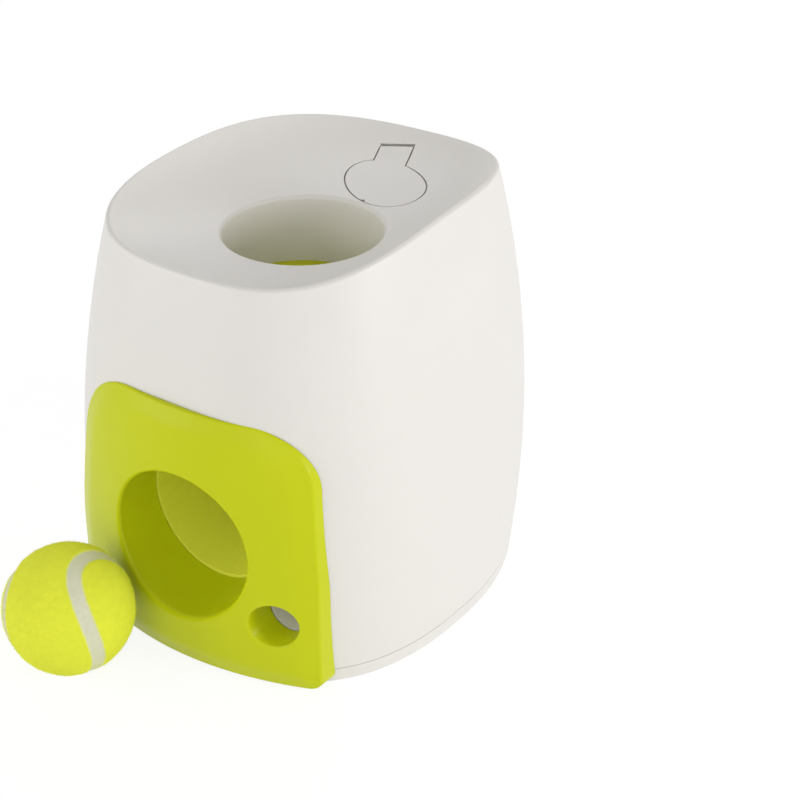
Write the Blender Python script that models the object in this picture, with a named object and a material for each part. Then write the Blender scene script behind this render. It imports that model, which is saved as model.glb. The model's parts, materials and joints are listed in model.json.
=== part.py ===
"""Gravity fed ball and treat machine for dogs, modelled piece by piece at its real size.

A ball dropped in at the top pushes a paddle down, rolls along a bent duct and leaves at the
front. The paddle turns a drum that lets one pocket of treats fall to the small outlet.
Metres, +Z up, front at -Y, origin on the floor below the middle of the body.
"""
import math

import bpy
import bmesh
from mathutils import Matrix, Vector
from mathutils.geometry import delaunay_2d_cdt

# General fits
CLEARANCE = 0.0003
OVERRUN = 0.0100
WALL = 0.0030
THIN_WALL = 0.0018

# Body outline: a rounded square that swells a little and then draws in towards the top
FLOOR_HALF_WIDTH = 0.1021
FLOOR_FRONT_DEPTH = 0.1136
FLOOR_BACK_DEPTH = 0.1309
OUTLINE_HEIGHT = 0.2200
SWELL_SHARE = 0.147
TAPER_SHARE = 0.338
SQUARENESS = 2.66
SQUARENESS_GAIN = 0.472
BACK_ROUNDING = 0.63
LEAN = 0.0027
BODY_SIDES = 60

# Rim of the dish: low at the front, high at the sides
RIM_HEIGHT = 0.2214
RIM_BACK_RISE = 0.0080
RIM_SIDE_RISE = 0.0043
RIM_END_FALL = 0.0117
RIM_ROUND = 0.0022

# Ball inlet: the round hole in the dish and its collar
BALL_DIAMETER = 0.0680
INLET_X = 0.0023
INLET_Y = -0.0100
INLET_RADIUS = 0.0410
INLET_LIP = 0.0024
INLET_HEIGHT = 0.1995
INLET_TILT = 0.0018
COLLAR_BOTTOM = 0.1640
DISH_LINEAR_SHARE = 0.62
DISH_CURVE = 4

# Base tray, its feet and its screws
FOOT_THICKNESS = 0.0015
FOOT_RADIUS = 0.0075
FOOT_EDGE = 0.0004
TRAY_TOP = 0.0078
TRAY_FLOOR = 0.0040
TRAY_SEAM = 0.0005
TRAY_LIP_HEIGHT = 0.0045
TRAY_EDGE = 0.0008
BOSS_RADIUS = 0.0042
BOSS_TOP = 0.0300
BOSS_X = 0.0640
BOSS_FRONT_Y = -0.0660
BOSS_BACK_Y = 0.0860
FOOT_SPACING = 0.0160
SCREW_RADIUS = 0.0015
SCREW_HEAD_RADIUS = 0.0030
SCREW_HEAD_HEIGHT = 0.0018
BASE_SCREW_LENGTH = 0.0160
HEAD_SHARES = [(0.55, 1), (0.9, 0.75), (1, 0.35)]
TIP_SHARES = [(1, 0.85), (0.3, 1)]

# Front panel, on the body's curved front
PANEL_LEFT_X = -0.0708
PANEL_RIGHT_X = 0.0802
PANEL_TAPER = 0.0022
PANEL_BOTTOM = 0.0008
PANEL_TOP = 0.1452
PANEL_TOP_CORNER = 0.0340
PANEL_BOTTOM_CORNER = 0.0060
PANEL_EDGE = 0.0032
PANEL_BOW_RADIUS = 0.1670
PANEL_CROWN = 0.0021
PANEL_BORDER = 0.0110
PANEL_FILLET = 0.0011
PANEL_GRID = 0.0085
PANEL_GAP = 0.00045
PANEL_STEP = 0.0120
CORNER_STEPS = 7
BORDER_SHARES = (0.35, 0.68, 1)

# Ball exit and treat outlet in the panel
EXIT_X = 0.0074
EXIT_Z = 0.0698
EXIT_RADIUS = 0.0395
EXIT_LIP = 0.0022
EXIT_DEPTH_Y = -0.0895
TUNNEL_SLOPE = math.radians(15.0)
TUNNEL_WALL = 0.0020
OUTLET_X = 0.0594
OUTLET_Z = 0.0392
OUTLET_RADIUS = 0.0122
OUTLET_LIP = 0.0013
OUTLET_DEPTH_Y = -0.0970

# Screws that hold the panel from inside
PANEL_POST_RADIUS = 0.0034
PANEL_PAD_RADIUS = 0.0066
PANEL_POST_HIGH_X = 0.0560
PANEL_POST_HIGH_Z = 0.1200
PANEL_POST_LOW_X = 0.0380
PANEL_POST_LOW_Z = 0.0210
PANEL_POST_REACH = 0.0046
PANEL_SCREW_LENGTH = 0.0070
PANEL_SCREW_HEAD_RADIUS = 0.0058

# Treat lid, flush in the dish
LID_X = 0.0060
LID_Y = 0.0526
LID_HALF_WIDTH = 0.0254
LID_HALF_LENGTH = 0.0189
LID_GAP = 0.00045
LID_THICKNESS = 0.0016
LID_LEDGE = 0.0022
LID_NOTCH_RADIUS = 0.0020
RECESS_GRID = 0.0060
TAB_ANGLE = math.radians(19.0)
TAB_WIDTH = 0.0176
TAB_REACH = 0.0390
TAB_GAP = 0.0010
KNUCKLE_RADIUS = 0.0027
HINGE_PIN_RADIUS = 0.0010
HINGE_BOSS_WALL = 0.0048
HINGE_BOSS_DEPTH = 0.0052
HINGE_BOSS_REACH = 0.0055

# Ball duct: a bent tube from the collar to the panel's tunnel
DUCT_WALL = 0.0020
RUN_RADIUS = 0.0383
DUCT_TOP = 0.1720
DUCT_SIDES = 36
EAR_MARGIN = 0.0010
DUCT_WINDOW_WIDTH = 0.0450
DUCT_WINDOW_BOTTOM = 0.0880
DUCT_EAR_THICKNESS = 0.0030
DUCT_EAR_HEIGHT = 0.0180

# Cross shaft with the ball paddle and the treat drum
SHAFT_Y = 0.0400
SHAFT_Z = 0.1420
SHAFT_RADIUS = 0.0020
PADDLE_TILT = math.radians(18.0)
PADDLE_LENGTH = 0.0580
PADDLE_WIDTH = 0.0400
PADDLE_THICKNESS = 0.0024
PADDLE_RIB = 0.0034
PADDLE_RIB_SHARE = 0.6
PADDLE_CORNER = 0.0120
HUB_RADIUS = 0.0050
TAIL_LENGTH = 0.0150
WEIGHT_RADIUS = 0.0045
WEIGHT_LENGTH = 0.0360
WEIGHT_SOCKET = 0.0140
SHAFT_LEFT = -0.0290
SHAFT_RIGHT = 0.0725
BUSH_RADIUS = 0.0040
BUSH_FLANGE_RADIUS = 0.0060
BUSH_FLANGE = 0.0012
CLIP_RADIUS = 0.0042
CLIP_THICKNESS = 0.0010

# Treat drum and the casing below the hopper
DRUM_RADIUS = 0.0165
DRUM_WIDTH = 0.0206
DRUM_RUNNING_GAP = 0.0006
CASING_LEFT_X = 0.0466
CASING_WIDTH = 0.0232
POCKET_FLOOR_RADIUS = 0.0070
POCKET_HALF_ANGLE = math.radians(25.0)
POCKET_CENTRE_ANGLE = math.radians(91.0)
POCKET_FLARE = math.radians(6.0)
FEED_LOW_ANGLE = math.radians(69.0)
FEED_HIGH_ANGLE = math.radians(113.0)
SPOUT_LOW_ANGLE = math.radians(158.0)
SPOUT_HIGH_ANGLE = math.radians(205.0)
LEG_WIDTH = 0.0160
LEG_DEPTH = 0.0180

# Treat hopper
HOPPER_RADIUS = 0.0168
HOPPER_END_RADIUS = 0.0115
HOPPER_FLOOR_HIGH = 0.1915
HOPPER_FLOOR_LOW = 0.1632
HOPPER_SEAT = 0.0007
THROAT_WIDTH = 0.0160
THROAT_DEPTH = 0.0110
SHELL_RISE = 0.1900

# Treat chute
CHUTE_RADIUS = 0.0108
CHUTE_WALL = 0.0015
CHUTE_SIDES = 24
CHUTE_DROP = 0.0050
CHUTE_TALL_SHARE = 1.1

# Cradle under the ball duct
CRADLE_FRONT_Y = -0.0660
CRADLE_BACK_Y = -0.0180
CRADLE_HALF_WIDTH = 0.0300
CRADLE_RIB = 0.0035
CRADLE_PLATE = 0.0025

# Ball on the floor in front of the machine
BALL_X = -0.0348
BALL_Y = -0.1545
BALL_SIDES = 28

WHITE = (0.83, 0.81, 0.78, 1.0)
PALE_GREY = (0.62, 0.61, 0.59, 1.0)
LIME = (0.55, 0.63, 0.02, 1.0)
STEEL = (0.60, 0.60, 0.62, 1.0)
DARK_RUBBER = (0.05, 0.05, 0.05, 1.0)
NATURAL_NYLON = (0.80, 0.79, 0.74, 1.0)
FELT = (0.70, 0.86, 0.05, 1.0)


def clear_scene():
    """Remove every object that the scene starts with."""
    for obj in list(bpy.data.objects):
        bpy.data.objects.remove(obj, do_unlink=True)


def material(name, colour, roughness, metallic=0.0):
    """One plain surface, shared by the pieces made of it."""
    found = bpy.data.materials.get(name)
    if found:
        return found
    made = bpy.data.materials.new(name)
    made.use_nodes = True
    shader = made.node_tree.nodes["Principled BSDF"]
    shader.inputs["Base Color"].default_value = colour
    shader.inputs["Roughness"].default_value = roughness
    shader.inputs["Metallic"].default_value = metallic
    return made


def white_plastic():
    return material("white_plastic", WHITE, 0.35)


def grey_plastic():
    return material("grey_plastic", PALE_GREY, 0.45)


def lime_plastic():
    return material("lime_plastic", LIME, 0.35)


def steel():
    return material("steel", STEEL, 0.3, 1.0)


def nylon():
    return material("nylon", NATURAL_NYLON, 0.5)


def add_mesh(name, points, faces, surface, parent=None, location=(0, 0, 0)):
    """A named object from points and faces, with its faces turned outwards."""
    mesh = bpy.data.meshes.new(name)
    mesh.from_pydata([tuple(p) for p in points], [], faces)
    work = bmesh.new()
    work.from_mesh(mesh)
    bmesh.ops.recalc_face_normals(work, faces=work.faces)
    work.to_mesh(mesh)
    work.free()
    obj = bpy.data.objects.new(name, mesh)
    bpy.context.scene.collection.objects.link(obj)
    mesh.materials.append(surface)
    obj.location = location
    obj.parent = parent
    smooth(obj)
    return obj


def smooth(obj):
    """Round faces shade smooth and real edges stay sharp."""
    obj.data.shade_smooth()
    obj.data.set_sharp_from_angle(angle=math.radians(35.0))


def combine(target, tools, operation):
    """Cut or join closed tool meshes into a target, keeping a plain mesh."""
    for tool in tools:
        step = target.modifiers.new("step", "BOOLEAN")
        step.operation = operation
        step.solver = "EXACT"
        step.object = tool
        bpy.context.view_layer.update()
        graph = bpy.context.evaluated_depsgraph_get()
        result = bpy.data.meshes.new_from_object(target.evaluated_get(graph))
        target.modifiers.remove(step)
        old = target.data
        target.data = result
        bpy.data.meshes.remove(old)
        bpy.data.objects.remove(tool, do_unlink=True)
    smooth(target)
    return target


def cut(target, *tools):
    return combine(target, tools, "DIFFERENCE")


def join(target, *tools):
    return combine(target, tools, "UNION")


def loop_faces(first, second, count):
    """Quads between two closed rings of points that start at the given indices."""
    return [
        (first + i, first + (i + 1) % count, second + (i + 1) % count, second + i)
        for i in range(count)
    ]


def loft(name, rings, surface, closed=False, parent=None, location=(0, 0, 0)):
    """Skin equal rings in order; the ends are capped, or joined to each other."""
    count = len(rings[0])
    points = [p for ring in rings for p in ring]
    faces = []
    for index in range(len(rings) - 1):
        faces += loop_faces(index * count, (index + 1) * count, count)
    if closed:
        faces += loop_faces((len(rings) - 1) * count, 0, count)
    else:
        faces.append(tuple(reversed(range(count))))
        last = (len(rings) - 1) * count
        faces.append(tuple(range(last, last + count)))
    return add_mesh(name, points, faces, surface, parent, location)


def circle(radius, sides, frame=Matrix.Identity(4), height=0.0):
    """Points of a circle in a frame's XY plane, at a height along its Z."""
    return [
        frame @ Vector((
            radius * math.cos(math.tau * i / sides),
            radius * math.sin(math.tau * i / sides),
            height,
        ))
        for i in range(sides)
    ]


def along(direction, origin=(0, 0, 0)):
    """Frame whose Z axis runs along a direction."""
    turn = Vector((0, 0, 1)).rotation_difference(Vector(direction))
    return Matrix.Translation(Vector(origin)) @ turn.to_matrix().to_4x4()


def turned(name, profile, sides, surface, frame=Matrix.Identity(4), **place):
    """Solid of revolution from (radius, height) pairs, capped at both ends."""
    rings = [circle(radius, sides, frame, height) for radius, height in profile]
    return loft(name, rings, surface, **place)


def turned_ring(name, profile, sides, surface, frame=Matrix.Identity(4), **place):
    """Ring of revolution: the (radius, height) pairs close on themselves."""
    rings = [circle(radius, sides, frame, height) for radius, height in profile]
    return loft(name, rings, surface, closed=True, **place)


def rod(name, radius, start, end, sides, surface, **place):
    """Cylinder from one point to another."""
    start, end = Vector(start), Vector(end)
    frame = along(end - start, start)
    return turned(name, [(radius, 0), (radius, (end - start).length)], sides, surface, frame, **place)


def block(name, low, high, surface, frame=Matrix.Identity(4), **place):
    """Box between two corners, in a frame."""
    xs, ys = (low[0], high[0]), (low[1], high[1])
    rings = [
        [
            frame @ Vector((xs[i], ys[j], z))
            for i, j in ((0, 0), (1, 0), (1, 1), (0, 1))
        ]
        for z in (low[2], high[2])
    ]
    return loft(name, rings, surface, **place)


def outline_scale(z):
    """Share of the floor outline that is left at a height."""
    share = z / OUTLINE_HEIGHT
    return 1 + SWELL_SHARE * share - TAPER_SHARE * share ** 2


def wall_value(x, y, z, inset):
    """Below zero inside the body's wall, above zero outside it."""
    share = z / OUTLINE_HEIGHT
    power = SQUARENESS + SQUARENESS_GAIN * share
    y += LEAN * share
    depth = FLOOR_FRONT_DEPTH
    if y > 0:
        depth = FLOOR_BACK_DEPTH
        power -= BACK_ROUNDING
    half_width = FLOOR_HALF_WIDTH * outline_scale(z) - inset
    half_depth = depth * outline_scale(z) - inset
    return abs(x / half_width) ** power + abs(y / half_depth) ** power - 1


def wall_reach(angle, z, inset):
    """Distance from the inlet's axis to the wall in one direction."""
    low, high = 0.0, FLOOR_BACK_DEPTH + FLOOR_FRONT_DEPTH
    for _ in range(36):
        middle = (low + high) / 2
        x = INLET_X + middle * math.cos(angle)
        y = INLET_Y + middle * math.sin(angle)
        if wall_value(x, y, z, inset) < 0:
            low = middle
        else:
            high = middle
    return low


def around_inlet(angle, reach, z):
    return Vector((INLET_X + reach * math.cos(angle), INLET_Y + reach * math.sin(angle), z))


def wall_point(angle, z, inset):
    return around_inlet(angle, wall_reach(angle, z, inset), z)


def rim_height(point):
    """Height of the rim above a point of the plan."""
    across = point[0] / FLOOR_HALF_WIDTH
    back = point[1] / FLOOR_FRONT_DEPTH
    rise = RIM_BACK_RISE * back + RIM_SIDE_RISE * across ** 2 - RIM_END_FALL * back ** 2
    return RIM_HEIGHT + rise


def rim_point(angle, inset):
    """Point of the rim's crest, moved inwards by an inset."""
    z = RIM_HEIGHT
    for _ in range(4):
        point = wall_point(angle, z, 0)
        z = rim_height(point)
    return around_inlet(angle, wall_reach(angle, z - RIM_ROUND, inset), z)


LIP_RADIUS = INLET_RADIUS + INLET_LIP
LIP_TURNS = [math.pi * share for share in (1 / 6, 1 / 3, 1 / 2)]


def lip_height(angle):
    return INLET_HEIGHT + INLET_TILT * math.sin(angle)


def dish_point(angle, share):
    """Point of the dish, from the inlet's lip at 0 to the rim at 1."""
    rim = rim_point(angle, RIM_ROUND)
    reach = math.hypot(rim.x - INLET_X, rim.y - INLET_Y)
    low = lip_height(angle)
    rise = DISH_LINEAR_SHARE * share + (1 - DISH_LINEAR_SHARE) * share ** DISH_CURVE
    return around_inlet(angle, LIP_RADIUS + (reach - LIP_RADIUS) * share, low + (rim.z - low) * rise)


def dish_height(x, y):
    """Height of the dish above a point of the plan."""
    dx, dy = x - INLET_X, y - INLET_Y
    angle = math.atan2(dy, dx)
    rim = rim_point(angle, RIM_ROUND)
    reach = math.hypot(rim.x - INLET_X, rim.y - INLET_Y)
    share = (math.hypot(dx, dy) - LIP_RADIUS) / (reach - LIP_RADIUS)
    share = max(share, 0.0)
    low = lip_height(angle)
    rise = DISH_LINEAR_SHARE * share + (1 - DISH_LINEAR_SHARE) * share ** DISH_CURVE
    return low + (rim.z - low) * rise


def surface_normal(height, x, y):
    """Upward normal of a height function."""
    step = CLEARANCE
    slope_x = (height(x + step, y) - height(x - step, y)) / (2 * step)
    slope_y = (height(x, y + step) - height(x, y - step)) / (2 * step)
    return Vector((-slope_x, -slope_y, 1)).normalized()


def inside(point, outline):
    """Whether a flat point lies inside a closed outline."""
    crossed = False
    for a, b in zip(outline, outline[1:] + outline[:1]):
        if (a[1] > point[1]) != (b[1] > point[1]):
            if point[0] < (b[0] - a[0]) * (point[1] - a[1]) / (b[1] - a[1]) + a[0]:
                crossed = not crossed
    return crossed


def distance_to(point, outline):
    """Distance from a flat point to an outline."""
    best = None
    here = Vector(point[:2])
    for index, (a, b) in enumerate(zip(outline, outline[1:] + outline[:1])):
        start, side = Vector(a), Vector(b) - Vector(a)
        share = min(max((here - start).dot(side) / max(side.length_squared, 1e-12), 0), 1)
        gap = (here - start - side * share).length
        best = gap if best is None else min(best, gap)
    return best


def fill(outline, holes, spacing):
    """Flat triangles inside an outline and outside its holes, with inner grid points."""
    loops = [outline] + holes
    points = [Vector(p) for loop in loops for p in loop]
    edges = []
    start = 0
    for loop in loops:
        count = len(loop)
        edges += [(start + i, start + (i + 1) % count) for i in range(count)]
        start += count
    low = [min(p[k] for p in outline) for k in (0, 1)]
    high = [max(p[k] for p in outline) for k in (0, 1)]
    columns = int((high[0] - low[0]) / spacing) + 1
    rows = int((high[1] - low[1]) / spacing) + 1
    for row in range(1, rows):
        for column in range(1, columns):
            here = (
                low[0] + (high[0] - low[0]) * column / columns,
                low[1] + (high[1] - low[1]) * row / rows,
            )
            if not inside(here, outline) or any(inside(here, hole) for hole in holes):
                continue
            if min(distance_to(here, loop) for loop in loops) > spacing / 2:
                points.append(Vector(here))
    made = delaunay_2d_cdt(points, edges, [], 1, 1e-7)
    places, triangles, origins = made[0], made[2], made[3]
    back_to = [origin[0] for origin in origins]
    kept = []
    for triangle in triangles:
        centre = sum((places[i] for i in triangle), Vector((0, 0))) / 3
        if not any(inside(centre, hole) for hole in holes):
            kept.append([back_to[i] for i in triangle])
    return points, kept


def sheet_solid(name, outline, top, bottom, spacing, surface, **place):
    """Solid over a flat outline, between two height functions."""
    flat, triangles = fill(outline, [], spacing)
    count = len(flat)
    points = [Vector((p.x, p.y, top(p.x, p.y))) for p in flat]
    points += [Vector((p.x, p.y, bottom(p.x, p.y))) for p in flat]
    faces = [tuple(t) for t in triangles]
    faces += [tuple(count + i for i in reversed(t)) for t in triangles]
    faces += loop_faces(0, count, len(outline))
    return add_mesh(name, points, faces, surface, **place)


def rounded_outline(corners, steps):
    """Closed outline through (x, y, radius) corners, each turned into an arc."""
    outline = []
    count = len(corners)
    for index in range(count):
        here = Vector(corners[index][:2])
        radius = corners[index][2]
        before = (Vector(corners[index - 1][:2]) - here).normalized()
        after = (Vector(corners[(index + 1) % count][:2]) - here).normalized()
        half = before.angle(after) / 2
        centre = here + (before + after).normalized() * radius / math.sin(half)
        start = here + before * radius / math.tan(half) - centre
        turn = -(math.pi - 2 * half) if start.cross(after) > 0 else math.pi - 2 * half
        turn = abs(turn) if before.cross(after) < 0 else -abs(turn)
        for step in range(steps + 1):
            angle = turn * step / steps
            outline.append(tuple(centre + Matrix.Rotation(angle, 2) @ start))
    return outline


# Treat lid: its plan, in a frame with the tab pointing to +V
TAB_DIRECTION = Vector((-math.sin(TAB_ANGLE), math.cos(TAB_ANGLE)))
SIDE_DIRECTION = Vector((math.cos(TAB_ANGLE), math.sin(TAB_ANGLE)))
HINGE_REACH = TAB_REACH - KNUCKLE_RADIUS


def lid_plan(side, forward):
    """Plan point from places across and along the tab."""
    centre = Vector((LID_X, LID_Y))
    return centre + SIDE_DIRECTION * side + TAB_DIRECTION * forward


def lid_outline(margin, reach, sides=30):
    """Oval lid with its straight tab, made larger by a margin."""
    half = TAB_WIDTH / 2 + margin
    mouth = math.asin(half / (LID_HALF_WIDTH + margin))
    points = [lid_plan(half, reach), lid_plan(-half, reach)]
    for step in range(sides + 1):
        angle = math.pi / 2 + mouth + (math.tau - 2 * mouth) * step / sides
        points.append(lid_plan(
            (LID_HALF_WIDTH + margin) * math.cos(angle), (LID_HALF_LENGTH + margin) * math.sin(angle)
        ))
    return [tuple(p) for p in points]


def hinge_frame():
    """Frame on the lid's hinge: X along the pin, Y towards the back, Z out of the dish."""
    middle = lid_plan(0, HINGE_REACH)
    left, right = lid_plan(-TAB_WIDTH / 2, HINGE_REACH), lid_plan(TAB_WIDTH / 2, HINGE_REACH)
    across = Vector((*right, dish_height(*right))) - Vector((*left, dish_height(*left)))
    across.normalize()
    normal = surface_normal(dish_height, *middle)
    back = normal.cross(across).normalized()
    normal = across.cross(back)
    centre = Vector((*middle, dish_height(*middle))) - normal * KNUCKLE_RADIUS
    frame = Matrix((across, back, normal)).transposed().to_4x4()
    return Matrix.Translation(centre) @ frame


def x_cylinder(name, radius, half_length, frame, sides, surface, **place):
    """Cylinder along a frame's X axis."""
    start = frame @ Vector((-half_length, 0, 0))
    end = frame @ Vector((half_length, 0, 0))
    return rod(name, radius, start, end, sides, surface, **place)


# Shared places along the front
def front_y(x, z):
    """The body's front surface in front of a point of the elevation."""
    share = z / OUTLINE_HEIGHT
    power = SQUARENESS + SQUARENESS_GAIN * share
    half_width = FLOOR_HALF_WIDTH * outline_scale(z)
    half_depth = FLOOR_FRONT_DEPTH * outline_scale(z)
    return -LEAN * share - half_depth * (1 - abs(x / half_width) ** power) ** (1 / power)


def front_point(x, z, proud):
    """Point that stands proud of the body's front along its normal."""
    step = CLEARANCE
    slope_x = (front_y(x + step, z) - front_y(x - step, z)) / (2 * step)
    slope_z = (front_y(x, z + step) - front_y(x, z - step)) / (2 * step)
    normal = Vector((slope_x, -1, slope_z)).normalized()
    return Vector((x, front_y(x, z), z)) + normal * proud


def tunnel_rise(depth):
    """How far a tunnel has climbed after a depth along Y."""
    return depth * math.tan(TUNNEL_SLOPE)


def exit_end():
    """Centre of the ball tunnel's inner end."""
    depth = EXIT_DEPTH_Y - front_y(EXIT_X, EXIT_Z)
    return Vector((EXIT_X, EXIT_DEPTH_Y, EXIT_Z + tunnel_rise(depth)))


def outlet_end():
    """Centre of the treat tunnel's inner end."""
    depth = OUTLET_DEPTH_Y - front_y(OUTLET_X, OUTLET_Z)
    return Vector((OUTLET_X, OUTLET_DEPTH_Y, OUTLET_Z + tunnel_rise(depth)))


def tunnel_tool(name, centre_x, centre_z, radius, end):
    """Slanted cylinder that clears a tunnel through the body's front."""
    front = front_y(centre_x, centre_z) - OVERRUN
    rings = []
    for y in (front, end.y + OVERRUN):
        middle = Vector((centre_x, y, end.z + tunnel_rise(y - end.y)))
        rings.append([
            middle + Vector((
                radius * math.cos(math.tau * i / 48), 0, radius * math.sin(math.tau * i / 48)
            ))
            for i in range(48)
        ])
    return loft(name, rings, white_plastic())


def panel_post_places():
    return [
        (side * x, z)
        for x, z in ((PANEL_POST_LOW_X, PANEL_POST_LOW_Z), (PANEL_POST_HIGH_X, PANEL_POST_HIGH_Z))
        for side in (-1, 1)
    ]


def boss_places():
    return [
        (side * BOSS_X, y)
        for y in (BOSS_FRONT_Y, BOSS_BACK_Y)
        for side in (-1, 1)
    ]


SHELL_BOTTOM = TRAY_TOP + TRAY_SEAM
SCREW_SEAT = SCREW_HEAD_HEIGHT + CLEARANCE
EVEN_SHARES = [0, 0.11, 0.23, 0.36, 0.49, 0.62, 0.75, 0.88, 1]
DISH_SHARES = [1, 0.93, 0.84, 0.72, 0.57, 0.41, 0.25, 0.11, 0]
UNDER_SHARES = [0.06, 0.28, 0.55, 0.78, 0.92]
INNER_SHARES = [0.95, 0.7, 0.45, 0.2, 0]


def body_shell():
    """Outer wall, dish, lip and collar as one moulding of even thickness."""
    angles = [math.tau * i / BODY_SIDES for i in range(BODY_SIDES)]
    rim = [rim_point(a, 0) for a in angles]
    rings = []
    for share in EVEN_SHARES:
        rings.append([
            wall_point(a, SHELL_BOTTOM + share * (crest.z - RIM_ROUND - SHELL_BOTTOM), 0)
            for a, crest in zip(angles, rim)
        ])
    for turn in (math.pi / 4, math.pi / 2):
        ring = []
        for a, crest in zip(angles, rim):
            z = crest.z - RIM_ROUND
            inset = RIM_ROUND * (1 - math.cos(turn))
            ring.append(around_inlet(a, wall_reach(a, z, inset), z + RIM_ROUND * math.sin(turn)))
        rings.append(ring)
    for share in DISH_SHARES[1:]:
        rings.append([dish_point(a, share) for a in angles])
    for turn in LIP_TURNS:
        radius = LIP_RADIUS - INLET_LIP * math.sin(turn)
        drop = INLET_LIP * (1 - math.cos(turn))
        rings.append([around_inlet(a, radius, lip_height(a) - drop) for a in angles])
    rings.append([around_inlet(a, INLET_RADIUS, COLLAR_BOTTOM) for a in angles])
    rings.append([around_inlet(a, LIP_RADIUS, COLLAR_BOTTOM) for a in angles])
    rings.append([around_inlet(a, LIP_RADIUS, lip_height(a) - WALL) for a in angles])
    for share in UNDER_SHARES:
        rings.append([dish_point(a, share) - Vector((0, 0, WALL)) for a in angles])
    for share in INNER_SHARES:
        rings.append([
            wall_point(a, SHELL_BOTTOM + share * (crest.z - RIM_ROUND - SHELL_BOTTOM), WALL)
            for a, crest in zip(angles, rim)
        ])
    shell = loft("body_shell", rings, white_plastic(), closed=True)

    boss_bottom = TRAY_FLOOR + CLEARANCE
    web_bottom = TRAY_TOP + TRAY_LIP_HEIGHT + TRAY_EDGE
    for x, y in boss_places():
        boss = rod(
            "boss", BOSS_RADIUS, (x, y, boss_bottom), (x, y, BOSS_TOP), 16, white_plastic()
        )
        web = block(
            "web",
            (0, -THIN_WALL / 2, 0),
            (boss_web_length(x, y), THIN_WALL / 2, BOSS_TOP - web_bottom),
            white_plastic(),
            along_plan((x, y, web_bottom), (x, y)),
        )
        join(shell, join(boss, web))
    for x, z in panel_post_places():
        join(shell, panel_pad(x, z))

    frame = hinge_frame()
    half_boss = TAB_WIDTH / 2 + HINGE_BOSS_WALL
    hinge_boss = block(
        "hinge_boss",
        (-half_boss, -HINGE_BOSS_REACH, -HINGE_BOSS_DEPTH),
        (half_boss, HINGE_BOSS_REACH, KNUCKLE_RADIUS - WALL / 2),
        white_plastic(),
        frame,
    )
    join(shell, hinge_boss)

    recess = sheet_solid(
        "recess",
        lid_outline(LID_GAP, HINGE_REACH),
        lambda x, y: dish_height(x, y) + OVERRUN,
        lambda x, y: dish_height(x, y) - LID_THICKNESS - CLEARANCE,
        RECESS_GRID,
        white_plastic(),
    )
    mouth = sheet_solid(
        "mouth",
        [tuple(Vector((LID_X, LID_Y)) + Vector(p[:2])) for p in circle(LID_HALF_LENGTH - LID_LEDGE, 32)],
        lambda x, y: dish_height(x, y) + OVERRUN,
        lambda x, y: dish_height(x, y) - OVERRUN,
        PANEL_STEP,
        white_plastic(),
    )
    cradle = x_cylinder(
        "cradle", KNUCKLE_RADIUS + TAB_GAP, TAB_WIDTH / 2 + LID_GAP, frame, 24, white_plastic()
    )
    pin_hole = x_cylinder(
        "pin_hole", HINGE_PIN_RADIUS + CLEARANCE, half_boss + CLEARANCE, frame, 16, white_plastic()
    )
    tools = [recess, mouth, cradle, pin_hole]
    clear = TUNNEL_WALL + CLEARANCE
    tools.append(tunnel_tool("exit_cut", EXIT_X, EXIT_Z, EXIT_RADIUS + clear, exit_end()))
    tools.append(tunnel_tool("outlet_cut", OUTLET_X, OUTLET_Z, OUTLET_RADIUS + clear, outlet_end()))
    for x, z in panel_post_places():
        y = front_y(x, z)
        tools.append(rod(
            "post_cut", PANEL_POST_RADIUS + CLEARANCE, (x, y - OVERRUN, z), (x, y + OVERRUN, z), 16,
            white_plastic(),
        ))
    for x, y in boss_places():
        tip = SCREW_SEAT + BASE_SCREW_LENGTH + CLEARANCE
        tools.append(rod(
            "pilot", SCREW_RADIUS + CLEARANCE, (x, y, 0), (x, y, tip), 12, white_plastic()
        ))
    return cut(shell, *tools)


def along_plan(origin, direction):
    """Frame at a point whose X axis looks level in a direction of the plan."""
    turn = Matrix.Rotation(math.atan2(direction[1], direction[0]), 4, "Z")
    return Matrix.Translation(Vector(origin)) @ turn


def panel_pad(x, z):
    """Thickening round a panel post, from the wall to where the screw head bears."""
    wall, end = [], []
    for px, py, _ in circle(PANEL_PAD_RADIUS, 20):
        wall.append(Vector((x + px, front_y(x + px, z + py) + WALL / 2, z + py)))
        end.append(Vector((x + px, post_end_y(x, z), z + py)))
    return loft("pad", [wall, end], white_plastic())


def boss_web_length(x, y):
    """Length of the web that ties a screw boss to the middle of the shell's wall."""
    direction = Vector((x, y)).normalized()
    low, high = 0.0, FLOOR_BACK_DEPTH
    for _ in range(30):
        middle = (low + high) / 2
        tip = Vector((x, y)) + direction * middle
        if wall_value(tip.x, tip.y, SHELL_BOTTOM, WALL / 2) < 0:
            low = middle
        else:
            high = middle
    return low


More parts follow.
